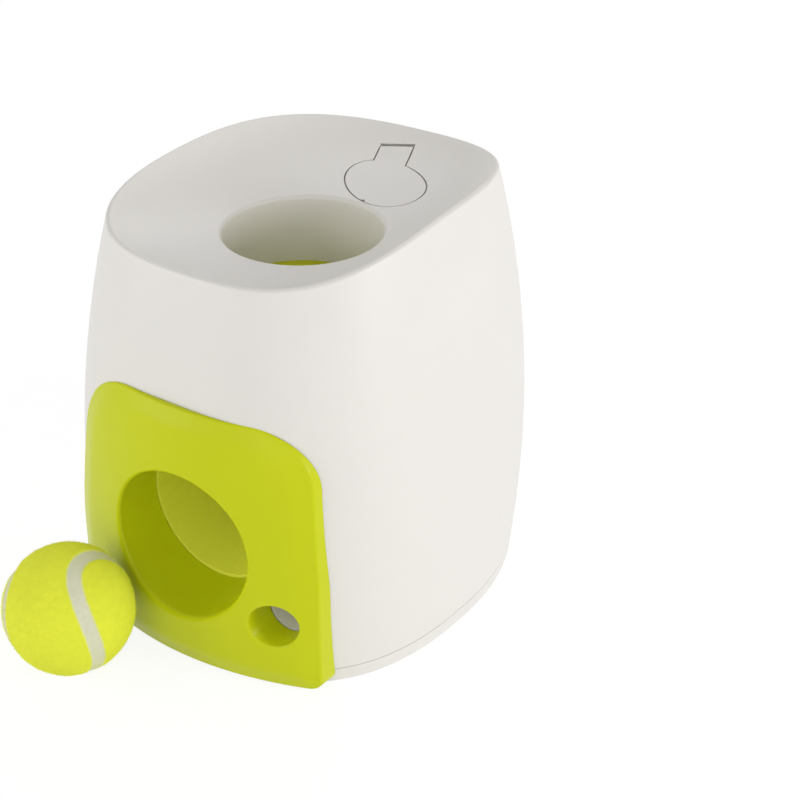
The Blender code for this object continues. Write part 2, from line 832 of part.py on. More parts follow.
def base_tray():
    """Floor of the machine: a shallow tray whose lip stands inside the shell."""
    angles = [math.tau * i / BODY_SIDES for i in range(BODY_SIDES)]
    floor_top = TRAY_FLOOR
    lip_out = WALL + CLEARANCE
    lip_in = lip_out + THIN_WALL
    steps = [
        (0, TRAY_EDGE),
        (TRAY_EDGE, 0),
        (TRAY_TOP - TRAY_EDGE / 2, 0),
        (TRAY_TOP, TRAY_EDGE),
        (TRAY_TOP, lip_out),
        (TRAY_TOP + TRAY_LIP_HEIGHT, lip_out),
        (TRAY_TOP + TRAY_LIP_HEIGHT, lip_in),
        (floor_top, lip_in),
    ]
    rings = [[wall_point(a, z, inset) for a in angles] for z, inset in steps]
    tray = loft("base_tray", rings, white_plastic())
    tools = []
    for x, y in boss_places():
        tools.append(rod(
            "screw_hole", SCREW_RADIUS + CLEARANCE, (x, y, -OVERRUN), (x, y, OVERRUN), 12,
            white_plastic(),
        ))
        tools.append(rod(
            "counterbore", SCREW_HEAD_RADIUS + CLEARANCE, (x, y, -OVERRUN),
            (x, y, SCREW_SEAT + CLEARANCE), 16, white_plastic(),
        ))
    for x, y in foot_places():
        tools.append(rod(
            "foot_seat", FOOT_RADIUS + CLEARANCE, (x, y, -OVERRUN),
            (x, y, FOOT_THICKNESS + CLEARANCE), 20, white_plastic(),
        ))
    return cut(tray, *tools)


def foot_places():
    return [
        (x - math.copysign(FOOT_SPACING, x), y)
        for x, y in boss_places()
    ]


def rubber_feet():
    """Four round feet pressed into the tray's recesses."""
    rubber = material("rubber", DARK_RUBBER, 0.8)
    profile = [
        (FOOT_RADIUS - FOOT_EDGE, 0),
        (FOOT_RADIUS, FOOT_EDGE),
        (FOOT_RADIUS, FOOT_THICKNESS),
    ]
    for index, (x, y) in enumerate(foot_places()):
        turned(f"foot_{index + 1}", profile, 20, rubber, location=(x, y, 0))


def screw(name, shank, head_radius, place, direction, length):
    """Pan head screw: its head's flat underside at the given place."""
    frame = along(direction, place)
    crown = SCREW_HEAD_HEIGHT
    profile = [(head_radius * out, -crown * up) for out, up in HEAD_SHARES]
    profile += [(head_radius, 0), (shank, 0)]
    profile += [(shank * out, length * up) for out, up in TIP_SHARES]
    return turned(name, profile, 12, steel(), frame)


def base_screws():
    """Screws up through the tray into the shell's bosses."""
    for index, (x, y) in enumerate(boss_places()):
        screw(
            f"base_screw_{index + 1}", SCREW_RADIUS, SCREW_HEAD_RADIUS, (x, y, SCREW_SEAT), (0, 0, 1),
            BASE_SCREW_LENGTH,
        )


def post_end_y(x, z):
    """Inner end of a panel post, just inside the shell's wall."""
    return front_y(x, z) + WALL + PANEL_POST_REACH


def panel_screws():
    """Washer head screws from inside the shell into the panel's posts."""
    for index, (x, z) in enumerate(panel_post_places()):
        y = post_end_y(x, z) + CLEARANCE
        screw(
            f"panel_screw_{index + 1}", SCREW_RADIUS, PANEL_SCREW_HEAD_RADIUS, (x, y, z),
            (0, -1, 0), PANEL_SCREW_LENGTH,
        )


def panel_corners(inset):
    """Corner list of the panel's elevation, drawn in by an inset."""
    return [
        (PANEL_LEFT_X + inset, PANEL_BOTTOM + inset, PANEL_BOTTOM_CORNER - inset / 2),
        (PANEL_RIGHT_X - inset, PANEL_BOTTOM + inset, PANEL_BOTTOM_CORNER - inset / 2),
        (PANEL_RIGHT_X - PANEL_TAPER - inset, PANEL_TOP - inset, PANEL_TOP_CORNER - inset),
        (PANEL_LEFT_X + PANEL_TAPER + inset, PANEL_TOP - inset, PANEL_TOP_CORNER - inset),
    ]


def panel_outline(inset):
    """Elevation of the panel with as many points at every inset."""
    outer = rounded_outline(panel_corners(0), CORNER_STEPS)
    arcs = rounded_outline(panel_corners(inset), CORNER_STEPS)
    outline = []
    for index in range(len(arcs)):
        start, end = Vector(arcs[index]), Vector(arcs[(index + 1) % len(arcs)])
        span = (Vector(outer[(index + 1) % len(outer)]) - Vector(outer[index])).length
        pieces = max(round(span / PANEL_STEP), 1)
        outline += [tuple(start.lerp(end, step / pieces)) for step in range(pieces)]
    return outline


def tunnel_ring(end, radius, depth_at, sides=40):
    """Ring of a sloping tunnel; its depth follows a function of the elevation."""
    ring = []
    for i in range(sides):
        x = end.x + radius * math.cos(math.tau * i / sides)
        rise = radius * math.sin(math.tau * i / sides)
        y = FLOOR_FRONT_DEPTH * -1
        for _ in range(4):
            y = depth_at(x, end.z + rise + tunnel_rise(y - end.y))
        ring.append(Vector((x, y, end.z + rise + tunnel_rise(y - end.y))))
    return ring


def panel_edge_y(x, z):
    """Depth of the panel's face without its crown: bowed less than the body behind it."""
    return front_y(0, z) - PANEL_EDGE + x * x / (2 * PANEL_BOW_RADIUS)


def panel_face_y(x, z):
    """Depth of the panel's outer face, with its crown inside the sloping border."""
    outline = rounded_outline(panel_corners(0), CORNER_STEPS)
    share = min(distance_to((x, z), outline) / PANEL_BORDER, 1)
    return panel_edge_y(x, z) - PANEL_CROWN * math.sin(share * math.pi / 2) ** 2


def tunnel_parts(name, end, radius, lip):
    """Outside of a tunnel, and the tool that clears it with a rounded lip."""
    back = end.y
    ahead = front_y(end.x, end.z) - 2 * OVERRUN
    outer = loft(name, [
        tunnel_ring(end, radius + TUNNEL_WALL, lambda x, z: (front_y(x, z) + panel_edge_y(x, z)) / 2),
        tunnel_ring(end, radius + TUNNEL_WALL, lambda x, z: back),
    ], lime_plastic())
    rings = [
        tunnel_ring(end, radius + lip + CLEARANCE, lambda x, z: ahead),
        tunnel_ring(end, radius + lip, panel_face_y),
    ]
    for turn in LIP_TURNS:
        inset = lip * (1 - math.sin(turn))
        drop = lip * (1 - math.cos(turn))
        rings.append(tunnel_ring(end, radius + inset, lambda x, z: panel_face_y(x, z) + drop))
    rings.append(tunnel_ring(end, radius, lambda x, z: back + OVERRUN))
    return outer, loft(name + "_bore", rings, lime_plastic())


def front_panel():
    """Coloured front with the ball tunnel, the treat tunnel and four fixing posts."""
    levels = [(0, -PANEL_FILLET), (PANEL_FILLET / 3, -PANEL_FILLET / 3), (PANEL_FILLET, 0)]
    levels += [(PANEL_BORDER * share, None) for share in BORDER_SHARES]
    loops = [panel_outline(inset) for inset in [0] + [inset for inset, _ in levels]]
    count = len(loops[0])
    points = [front_point(x, z, PANEL_GAP) for x, z in loops[0]]
    for (_, proud), outline in zip(levels, loops[1:]):
        if proud is None:
            points += [Vector((x, panel_face_y(x, z), z)) for x, z in outline]
        else:
            points += [Vector((x, panel_edge_y(x, z) - proud, z)) for x, z in outline]
    faces = []
    for index in range(len(levels)):
        faces += loop_faces(index * count, (index + 1) * count, count)
    for base, outline in ((0, loops[0]), (len(levels), loops[-1])):
        flat, triangles = fill(outline, [], PANEL_GRID)
        numbers = list(range(base * count, base * count + count))
        for p in flat[count:]:
            numbers.append(len(points))
            here = (p.x, panel_face_y(p.x, p.y), p.y) if base else front_point(p.x, p.y, PANEL_GAP)
            points.append(Vector(here))
        faces += [tuple(numbers[i] for i in t) for t in triangles]
    panel = add_mesh("front_panel", points, faces, lime_plastic())

    exit_tube, exit_bore = tunnel_parts("exit", exit_end(), EXIT_RADIUS, EXIT_LIP)
    outlet_tube, outlet_bore = tunnel_parts("outlet", outlet_end(), OUTLET_RADIUS, OUTLET_LIP)
    join(panel, exit_tube, outlet_tube)
    for x, z in panel_post_places():
        join(panel, rod(
            "post", PANEL_POST_RADIUS, (x, front_y(x, z) - PANEL_EDGE / 2, z),
            (x, post_end_y(x, z), z), 16, lime_plastic(),
        ))
    tools = [exit_bore, outlet_bore]
    for x, z in panel_post_places():
        y = post_end_y(x, z)
        tools.append(rod(
            "pilot", SCREW_RADIUS + CLEARANCE, (x, y - PANEL_SCREW_LENGTH - CLEARANCE, z),
            (x, y + OVERRUN, z), 12, lime_plastic(),
        ))
    return cut(panel, *tools)


def duct_axis():
    """Ends of the sloping run: behind the panel's tunnel, and below the inlet."""
    end = exit_end()
    depth = INLET_Y - end.y
    return (
        Vector((end.x, end.y + CLEARANCE, end.z + tunnel_rise(CLEARANCE))),
        Vector((INLET_X, INLET_Y, end.z + tunnel_rise(depth))),
    )


def duct_solids(offset, front_reach, top_reach):
    """Drop, bend and run of the ball duct as three closed solids, grown by an offset."""
    front, bend = duct_axis()
    neck = COLLAR_BOTTOM - 2 * DUCT_WALL
    drop = turned("drop", [
        (RUN_RADIUS + offset, bend.z),
        (RUN_RADIUS + offset, bend.z + RUN_RADIUS / 2),
        (LIP_RADIUS + CLEARANCE + offset, neck),
        (LIP_RADIUS + CLEARANCE + offset, DUCT_TOP + top_reach),
    ], DUCT_SIDES, grey_plastic(), Matrix.Translation((INLET_X, INLET_Y, 0)))
    ball = []
    for step in range(1, 12):
        turn = math.pi * step / 12
        ball.append(((RUN_RADIUS + offset) * math.sin(turn), -(RUN_RADIUS + offset) * math.cos(turn)))
    bend_ball = turned("bend", ball, DUCT_SIDES, grey_plastic(), Matrix.Translation(bend))
    rings = []
    direction = (bend - front) / (bend.y - front.y)
    for y in (front.y - front_reach, bend.y):
        middle = front + direction * (y - front.y)
        rings.append([
            middle + Vector((
                (RUN_RADIUS + offset) * math.cos(math.tau * i / DUCT_SIDES),
                0,
                (RUN_RADIUS + offset) * math.sin(math.tau * i / DUCT_SIDES),
            ))
            for i in range(DUCT_SIDES)
        ])
    run = loft("run", rings, grey_plastic())
    return drop, bend_ball, run


def shaft_point(x, radius=0.0, angle=0.0):
    """Point round the cross shaft; angles run from the back up over the top."""
    return Vector((x, SHAFT_Y + radius * math.cos(angle), SHAFT_Z + radius * math.sin(angle)))


def shaft_disc(name, radius, left, right, sides, surface):
    """Cylinder on the cross shaft's axis."""
    return rod(name, radius, shaft_point(left), shaft_point(right), sides, surface)


def ear_lefts():
    """Left faces of the duct's two shaft ears."""
    reach = DUCT_WINDOW_WIDTH / 2 + EAR_MARGIN
    return INLET_X - reach - DUCT_EAR_THICKNESS, INLET_X + reach


def ball_duct():
    """Bent duct that leads the ball from the inlet to the front, with ears for the shaft."""
    drop, bend_ball, run = duct_solids(DUCT_WALL, 0, 0)
    duct = join(drop, bend_ball, run)
    duct.name = "ball_duct"
    for left in ear_lefts():
        ear = block(
            "ear",
            (left, INLET_Y + RUN_RADIUS / 2, SHAFT_Z - DUCT_EAR_HEIGHT / 2),
            (left + DUCT_EAR_THICKNESS, SHAFT_Y, SHAFT_Z + DUCT_EAR_HEIGHT / 2),
            grey_plastic(),
        )
        nose = shaft_disc(
            "nose", DUCT_EAR_HEIGHT / 2, left, left + DUCT_EAR_THICKNESS, 24, grey_plastic()
        )
        join(duct, join(ear, nose))
    tools = list(duct_solids(0, OVERRUN, OVERRUN))
    stop = math.tan(PADDLE_TILT) * (SHAFT_Y - INLET_Y - RUN_RADIUS) + PADDLE_THICKNESS / 2
    tools.append(block(
        "window",
        (INLET_X - DUCT_WINDOW_WIDTH / 2, INLET_Y + RUN_RADIUS / 2, DUCT_WINDOW_BOTTOM),
        (INLET_X + DUCT_WINDOW_WIDTH / 2, SHAFT_Y + OVERRUN, SHAFT_Z + stop + 2 * CLEARANCE),
        grey_plastic(),
    ))
    for left in ear_lefts():
        tools.append(shaft_disc(
            "bore", BUSH_RADIUS + CLEARANCE, left - CLEARANCE, left + DUCT_EAR_THICKNESS + CLEARANCE,
            20, grey_plastic(),
        ))
    return cut(duct, *tools)


def duct_cradle():
    """Saddle on the tray that carries the duct's run."""
    floor = TRAY_FLOOR + CLEARANCE
    front, bend = duct_axis()
    top = front.z
    cradle = block(
        "duct_cradle",
        (INLET_X - CRADLE_HALF_WIDTH, CRADLE_FRONT_Y, floor),
        (INLET_X + CRADLE_HALF_WIDTH, CRADLE_BACK_Y, floor + CRADLE_PLATE),
        grey_plastic(),
    )
    for y in (CRADLE_FRONT_Y, CRADLE_BACK_Y - CRADLE_RIB):
        join(cradle, block(
            "rib",
            (INLET_X - CRADLE_HALF_WIDTH, y, floor + CRADLE_PLATE / 2),
            (INLET_X + CRADLE_HALF_WIDTH, y + CRADLE_RIB, top - RUN_RADIUS / 2),
            grey_plastic(),
        ))
    for side in (-1, 1):
        x = INLET_X + side * CRADLE_HALF_WIDTH / 2
        join(cradle, block(
            "rail",
            (x - CRADLE_RIB / 2, CRADLE_FRONT_Y + CRADLE_RIB / 2, floor + CRADLE_PLATE / 2),
            (x + CRADLE_RIB / 2, CRADLE_BACK_Y - CRADLE_RIB / 2, top - RUN_RADIUS / 2),
            grey_plastic(),
        ))
    drop, bend_ball, run = duct_solids(DUCT_WALL + CLEARANCE, 0, 0)
    return cut(cradle, bend_ball, run, drop)


def cross_shaft():
    """Steel shaft that the paddle and the drum are fixed to."""
    obj = rod("cross_shaft", SHAFT_RADIUS, (SHAFT_LEFT, 0, 0), (SHAFT_RIGHT, 0, 0), 16, steel(),
              location=shaft_point(0))
    return obj


def bushes_and_clips():
    """Flanged bushes in the duct's ears and the clips that keep the shaft in place."""
    for index, (left, side) in enumerate(zip(ear_lefts(), (-1, 1))):
        face = left if side < 0 else left + DUCT_EAR_THICKNESS
        inner = left + DUCT_EAR_THICKNESS if side < 0 else left
        profile = [
            (SHAFT_RADIUS + CLEARANCE, 0),
            (BUSH_FLANGE_RADIUS, 0),
            (BUSH_FLANGE_RADIUS, BUSH_FLANGE),
            (BUSH_RADIUS, BUSH_FLANGE),
            (BUSH_RADIUS, BUSH_FLANGE + CLEARANCE + abs(face - inner)),
            (SHAFT_RADIUS + CLEARANCE, BUSH_FLANGE + CLEARANCE + abs(face - inner)),
        ]
        start = shaft_point(face + side * (BUSH_FLANGE + CLEARANCE))
        turned_ring(
            f"shaft_bush_{index + 1}", profile, 20, nylon(), along((-side, 0, 0), start)
        )
    left_clip = ear_lefts()[0] - BUSH_FLANGE - 2 * CLEARANCE - CLIP_THICKNESS
    right_clip = CASING_LEFT_X + CASING_WIDTH + CLEARANCE
    for index, left in enumerate((left_clip, right_clip)):
        profile = [
            (SHAFT_RADIUS + CLEARANCE, 0),
            (CLIP_RADIUS, 0),
            (CLIP_RADIUS, CLIP_THICKNESS),
            (SHAFT_RADIUS + CLEARANCE, CLIP_THICKNESS),
        ]
        turned_ring(
            f"shaft_clip_{index + 1}", profile, 20, steel(),
            along((1, 0, 0)), location=shaft_point(left),
        )


def trigger_paddle():
    """Paddle in the ball's way, with its hub, ribs and the socket for the counterweight."""
    grey = lime_plastic()
    half = PADDLE_WIDTH / 2
    outline = rounded_outline([
        (-half, 0, PADDLE_THICKNESS),
        (-half, -PADDLE_LENGTH, PADDLE_CORNER),
        (half, -PADDLE_LENGTH, PADDLE_CORNER),
        (half, 0, PADDLE_THICKNESS),
    ], 5)
    rings = [
        [Vector((x, y, side * PADDLE_THICKNESS / 2)) for x, y in outline]
        for side in (-1, 1)
    ]
    paddle = loft("trigger_paddle", rings, grey)
    hub_half = DUCT_WINDOW_WIDTH / 2 + EAR_MARGIN - 2 * CLEARANCE
    hub = rod("hub", HUB_RADIUS, (-hub_half, 0, 0), (hub_half, 0, 0), 24, grey)
    arm = block(
        "arm",
        (-WEIGHT_SOCKET / 2, 0, -PADDLE_THICKNESS),
        (WEIGHT_SOCKET / 2, TAIL_LENGTH, PADDLE_THICKNESS),
        grey,
    )
    socket = rod(
        "socket", WEIGHT_RADIUS + THIN_WALL, (-WEIGHT_SOCKET / 2, TAIL_LENGTH, 0),
        (WEIGHT_SOCKET / 2, TAIL_LENGTH, 0), 20, grey,
    )
    join(paddle, hub, join(arm, socket))
    for side in (-1, 0, 1):
        x = side * half * PADDLE_RIB_SHARE
        join(paddle, block(
            "rib",
            (x - THIN_WALL / 2, -PADDLE_LENGTH + PADDLE_CORNER, -PADDLE_RIB),
            (x + THIN_WALL / 2, 0, 0),
            grey,
        ))
    cut(
        paddle,
        rod("bore", SHAFT_RADIUS + CLEARANCE, (-half * 2, 0, 0), (half * 2, 0, 0), 16, grey),
        rod(
            "weight_bore", WEIGHT_RADIUS + CLEARANCE, (-half, TAIL_LENGTH, 0),
            (half, TAIL_LENGTH, 0), 20, grey,
        ),
    )
    paddle.location = shaft_point(INLET_X)
    paddle.rotation_euler = (-PADDLE_TILT, 0, 0)
    rod(
        "counterweight", WEIGHT_RADIUS, (-WEIGHT_LENGTH / 2, TAIL_LENGTH, 0),
        (WEIGHT_LENGTH / 2, TAIL_LENGTH, 0), 20, steel(), parent=paddle,
    )
    return paddle


def shaft_prism(name, outline, left, right, surface, **place):
    """Solid with a constant section across the shaft; the outline is (back, up) pairs."""
    rings = [[Vector((x, back, up)) for back, up in outline] for x in (left, right)]
    return loft(name, rings, surface, **place)


def sector(radius, low, high, steps):
    return [
        (radius * math.cos(low + (high - low) * i / steps), radius * math.sin(low + (high - low) * i / steps))
        for i in range(steps + 1)
    ]


def treat_drum():
    """Drum with one pocket; the pocket faces the hopper until the paddle turns it."""
    low = POCKET_CENTRE_ANGLE + POCKET_HALF_ANGLE
    high = POCKET_CENTRE_ANGLE - POCKET_HALF_ANGLE + math.tau
    outline = sector(DRUM_RADIUS, low, high, 24)
    outline += list(reversed(sector(
        POCKET_FLOOR_RADIUS, low - POCKET_FLARE, high - math.tau + POCKET_FLARE, 4
    )))[::-1]
    drum = shaft_prism("treat_drum", outline, 0, DRUM_WIDTH, lime_plastic())
    cut(drum, rod("bore", SHAFT_RADIUS + CLEARANCE, (-OVERRUN, 0, 0), (DRUM_WIDTH + OVERRUN, 0, 0), 16,
                  lime_plastic()))
    drum.location = shaft_point(CASING_LEFT_X + CLEARANCE)
    return drum


def drum_stand():
    """Casing round the drum on a leg that stands on the tray."""
    inner = DRUM_RADIUS + DRUM_RUNNING_GAP
    outer = inner + THIN_WALL
    right = CASING_LEFT_X + CASING_WIDTH
    floor = TRAY_FLOOR + CLEARANCE
    stand = shaft_disc("drum_stand", outer, CASING_LEFT_X, right, 36, grey_plastic())
    middle = CASING_LEFT_X + CASING_WIDTH / 2
    leg = block(
        "leg",
        (middle - LEG_WIDTH / 2, SHAFT_Y - WALL / 2, floor),
        (middle + LEG_WIDTH / 2, SHAFT_Y + WALL / 2, SHAFT_Z),
        grey_plastic(),
    )
    rib = block(
        "rib",
        (middle - WALL / 2, SHAFT_Y - LEG_DEPTH / 2, floor),
        (middle + WALL / 2, SHAFT_Y + LEG_DEPTH / 2, SHAFT_Z),
        grey_plastic(),
    )
    sole = block(
        "sole",
        (middle - LEG_WIDTH / 2 - WALL, SHAFT_Y - LEG_DEPTH / 2 - WALL, floor),
        (middle + LEG_WIDTH / 2 + WALL, SHAFT_Y + LEG_DEPTH / 2 + WALL, floor + WALL),
        grey_plastic(),
    )
    join(stand, join(leg, rib, sole))
    room = shaft_disc("room", inner, CASING_LEFT_X - OVERRUN, right - THIN_WALL, 36, grey_plastic())
    bore = shaft_disc(
        "bore", SHAFT_RADIUS + CLEARANCE, CASING_LEFT_X, right + OVERRUN, 16, grey_plastic()
    )
    tools = [room, bore]
    for low, high in ((FEED_LOW_ANGLE, FEED_HIGH_ANGLE), (SPOUT_LOW_ANGLE, SPOUT_HIGH_ANGLE)):
        wedge = [(0, 0)] + sector(outer + OVERRUN, low, high, 4)
        tools.append(shaft_prism(
            "wedge", [(SHAFT_Y + b, SHAFT_Z + u) for b, u in wedge],
            CASING_LEFT_X + THIN_WALL, right - 2 * THIN_WALL, grey_plastic(),
        ))
    return cut(stand, *tools)


def hopper_ring(inset, height, sides=12):
    """Plan of the hopper: a wide end below the lid and a narrow end above the drum."""
    middle = CASING_LEFT_X + CASING_WIDTH / 2
    wide, narrow = Vector((LID_X, LID_Y)), Vector((middle, SHAFT_Y))
    axis = (narrow - wide).normalized()
    heading = math.atan2(axis.y, axis.x)
    lean = math.asin((HOPPER_RADIUS - HOPPER_END_RADIUS) / (narrow - wide).length)
    arcs = []
    for centre, radius, start, sweep in (
        (wide, HOPPER_RADIUS, math.pi / 2 - lean, math.pi + 2 * lean),
        (narrow, HOPPER_END_RADIUS, -math.pi / 2 + lean, math.pi - 2 * lean),
    ):
        angles = [heading + start + sweep * i / sides for i in range(sides + 1)]
        arcs.append([centre + Vector((math.cos(a), math.sin(a))) * (radius + inset) for a in angles])
    plan = []
    for arc, following in (arcs, reversed(arcs)):
        plan += arc
        plan += [arc[-1].lerp(following[0], step / sides) for step in range(2, sides, 2)]
    return [Vector((p.x, p.y, height(p.x, p.y))) for p in plan]


def hopper_floor(x, y):
    """Height of the hopper's sloping floor."""
    start = LID_X - HOPPER_RADIUS
    span = CASING_LEFT_X + CASING_WIDTH / 2 + HOPPER_END_RADIUS + THIN_WALL - start
    return HOPPER_FLOOR_HIGH + (HOPPER_FLOOR_LOW - HOPPER_FLOOR_HIGH) * (x - start) / span


def treat_hopper():
    """Hopper below the treat lid, with a sloping floor down to the drum."""
    middle = CASING_LEFT_X + CASING_WIDTH / 2

    def brim(x, y):
        return dish_height(x, y) - WALL - HOPPER_SEAT

    hopper = loft("treat_hopper", [
        hopper_ring(0, hopper_floor),
        hopper_ring(0, brim),
        hopper_ring(THIN_WALL, brim),
        hopper_ring(THIN_WALL, lambda x, y: hopper_floor(x, y) - THIN_WALL),
    ], grey_plastic())
    bottom = SHAFT_Z + DRUM_RADIUS + DRUM_RUNNING_GAP + THIN_WALL + CLEARANCE
    throat = []
    for grow, low, high in (
        (THIN_WALL, bottom, lambda x, y: hopper_floor(x, y) - THIN_WALL / 2),
        (0, bottom - OVERRUN, lambda x, y: hopper_floor(x, y) + OVERRUN),
    ):
        plan = [
            (middle + i * (THROAT_WIDTH / 2 + grow), SHAFT_Y + j * (THROAT_DEPTH / 2 + grow))
            for i, j in ((-1, -1), (1, -1), (1, 1), (-1, 1))
        ]
        throat.append(loft("throat", [
            [Vector((x, y, low)) for x, y in plan],
            [Vector((x, y, high(x, y))) for x, y in plan],
        ], grey_plastic()))
    join(hopper, throat[0])
    return cut(hopper, throat[1])


def treat_chute():
    """Sloping tube from the drum's casing to the panel's treat tunnel."""
    end = outlet_end()
    middle = CASING_LEFT_X + CASING_WIDTH / 2
    top_y = SHAFT_Y - DRUM_RADIUS - DRUM_RUNNING_GAP - THIN_WALL - CLEARANCE
    start = Vector((middle, top_y, SHAFT_Z + CHUTE_DROP / 2))
    knee = Vector((middle, top_y - CHUTE_DROP * 2, SHAFT_Z - CHUTE_DROP))
    finish = Vector((end.x, end.y + CLEARANCE, end.z))
    path = [start, knee]
    for share in (1 / 3, 2 / 3):
        path.append(knee.lerp(finish, share))
    path.append(finish)
    rings = []
    for radius in (CHUTE_RADIUS, CHUTE_RADIUS + CHUTE_WALL):
        tube = []
        for centre in path:
            tube.append([
                centre + Vector((
                    radius * math.cos(math.tau * i / CHUTE_SIDES),
                    0,
                    radius * math.sin(math.tau * i / CHUTE_SIDES) * CHUTE_TALL_SHARE,
                ))
                for i in range(CHUTE_SIDES)
            ])
        rings.append(tube)
    return loft("treat_chute", rings[0] + rings[1][::-1], grey_plastic(), closed=True)


def treat_lid():
    """Lid flush in the dish, with its tab and hinge knuckle."""
    frame = hinge_frame()
    lid = sheet_solid(
        "treat_lid",
        lid_outline(0, HINGE_REACH),
        dish_height,
        lambda x, y: dish_height(x, y) - LID_THICKNESS,
        PANEL_GRID,
        white_plastic(),
    )
    knuckle = x_cylinder("knuckle", KNUCKLE_RADIUS, TAB_WIDTH / 2, frame, 24, white_plastic())
    join(lid, knuckle)
    tip = lid_plan(0, -LID_HALF_LENGTH)
    notch = rod(
        "notch", LID_NOTCH_RADIUS, (*tip, 0), (*tip, SHELL_RISE + RIM_HEIGHT), 16, white_plastic()
    )
    pin_hole = x_cylinder(
        "pin_hole", HINGE_PIN_RADIUS + CLEARANCE, TAB_WIDTH, frame, 16, white_plastic()
    )
    cut(lid, notch, pin_hole)
    centre = frame.translation
    lid.data.transform(Matrix.Translation(-centre))
    lid.location = centre
    return lid


def lid_pin():
    """Steel pin of the lid's hinge."""
    frame = hinge_frame()
    return x_cylinder(
        "lid_pin", HINGE_PIN_RADIUS, TAB_WIDTH / 2 + HINGE_BOSS_WALL - CLEARANCE, frame, 16, steel()
    )


def tennis_ball():
    """Ball lying on the floor in front of the exit."""
    radius = BALL_DIAMETER / 2
    felt = material("felt", FELT, 0.9)
    poles = [Vector((0, 0, -radius)), Vector((0, 0, radius))]
    rows = BALL_SIDES // 2
    points, faces = poles[:], []
    for row in range(1, rows):
        turn = math.pi * row / rows
        points += circle(radius * math.sin(turn), BALL_SIDES, height=-radius * math.cos(turn))
    for row in range(rows - 2):
        faces += loop_faces(2 + row * BALL_SIDES, 2 + (row + 1) * BALL_SIDES, BALL_SIDES)
    last = 2 + (rows - 2) * BALL_SIDES
    for i in range(BALL_SIDES):
        following = (i + 1) % BALL_SIDES
        faces.append((0, 2 + following, 2 + i))
        faces.append((1, last + i, last + following))
    return add_mesh("tennis_ball", points, faces, felt, location=(BALL_X, BALL_Y, radius))


def main():
    clear_scene()
    body_shell()
    base_tray()
    rubber_feet()
    base_screws()
    front_panel()
    panel_screws()
    ball_duct()
    duct_cradle()
    cross_shaft()
    bushes_and_clips()
    trigger_paddle()
    treat_drum()
    drum_stand()
    treat_hopper()
    treat_chute()
    treat_lid()
    lid_pin()
    tennis_ball()


main()
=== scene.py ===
"""Looks of the dog ball and treat machine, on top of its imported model."""
import json
import math

import bmesh
import bpy
from bpy.props import FloatProperty, FloatVectorProperty, IntProperty, PointerProperty
from mathutils import Matrix, Vector, noise
from mathutils.geometry import delaunay_2d_cdt


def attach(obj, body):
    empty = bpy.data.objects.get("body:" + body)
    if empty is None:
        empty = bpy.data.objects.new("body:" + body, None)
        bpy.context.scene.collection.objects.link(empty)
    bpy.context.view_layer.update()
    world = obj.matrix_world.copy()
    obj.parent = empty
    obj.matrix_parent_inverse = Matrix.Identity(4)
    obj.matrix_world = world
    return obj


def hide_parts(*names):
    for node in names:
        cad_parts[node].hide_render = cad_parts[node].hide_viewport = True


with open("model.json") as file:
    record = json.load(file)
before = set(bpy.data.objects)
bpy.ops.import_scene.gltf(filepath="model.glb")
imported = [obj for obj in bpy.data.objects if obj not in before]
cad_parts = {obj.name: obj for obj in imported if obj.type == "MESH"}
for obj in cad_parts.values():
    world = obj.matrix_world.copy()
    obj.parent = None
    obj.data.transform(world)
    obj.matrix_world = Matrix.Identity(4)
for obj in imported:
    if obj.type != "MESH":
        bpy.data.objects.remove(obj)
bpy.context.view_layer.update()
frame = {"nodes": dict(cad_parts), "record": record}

bl_info = {
    "name": "Dog ball and treat machine",
    "version": (1, 0, 0),
    "blender": (4, 5, 0),
    "location": "3D View > Sidebar > Machine",
    "description": "Dresses the machine's housing, panel, lid, ball and inner parts",
    "category": "Object",
}

# Counts and spacings of the curves and faces
WALL_ROWS = 30
INNER_WALL_ROWS = 8
DISH_ROWS = 30
UNDERSIDE_ROWS = 9
COLLAR_ROWS = 5
ROUNDING_ROWS = {"rim": 6, "inlet": 8, "panel": 5, "tunnel": 7}
CORNER_STEPS = 16
OVAL_SIDES = 180
TAB_SIDE_POINTS = 12
TAB_END_POINTS = 9
EXIT_SIDES = 144
OUTLET_SIDES = 72
TOOL_SIDES = 96
MOUTH_SIDES = 64
ROLL_SIDES = 48
NOTCH_SIDES = 32
SCREW_SIDES = 32
FOOT_SIDES = 48
BALL_SIDES = 224
BALL_ROWS = 112
OUTLINE_STEP = 0.0035
LID_GRID = 0.003
PANEL_BACK_GRID = 0.008
SLOPE_STEP = 0.0003

# Shares of the dish's reach and of the wall's height where rows start or end, how far below the inlet's
# edge the collar starts, and the bevel at a tunnel's inner end
DISH_START = 0.985
UNDERSIDE = (0.06, 0.95)
INNER_WALL_TOP = 0.95
COLLAR_DROP = 0.006
TUNNEL_EDGE = 0.0003

# Bounds and rounds of the searches for the wall, the rim and a tunnel's depth
NEAREST_WALL = 0.04
FURTHEST_WALL = 0.16
HALVINGS = 22
RIM_ROUNDS = 4
NEARLY_ONE = 0.9999
FIRST_DEPTH = -0.115
DEPTH_ROUNDS = 6

# Tools that cut the housing and the lid
TOOL_GAP = 0.0003
TOOL_OVERLAP = 0.0001
TOOL_FRONT = -0.135
TOOL_PAST_TUNNEL = 0.02
TOOL_RISE = 0.012
NOTCH_HEIGHTS = (0.19, 0.22)

# Floor tray: its raised lip inside the housing, and the recesses below it
LIP_TOP = 0.0123
LIP_FRONT = 0.0003
LIP_BACK = 0.0021
TRAY_FLOOR = 0.004
BELOW_FLOOR = -0.005
SCREWS_X = (-0.064, 0.064)
SCREWS_Y = (-0.066, 0.086)
SCREW_RADIUS = 0.0033
SCREW_DEPTH = 0.0024
FOOT_SHIFT = 0.016
FOOT_RADIUS = 0.0078
FOOT_DEPTH = 0.0018

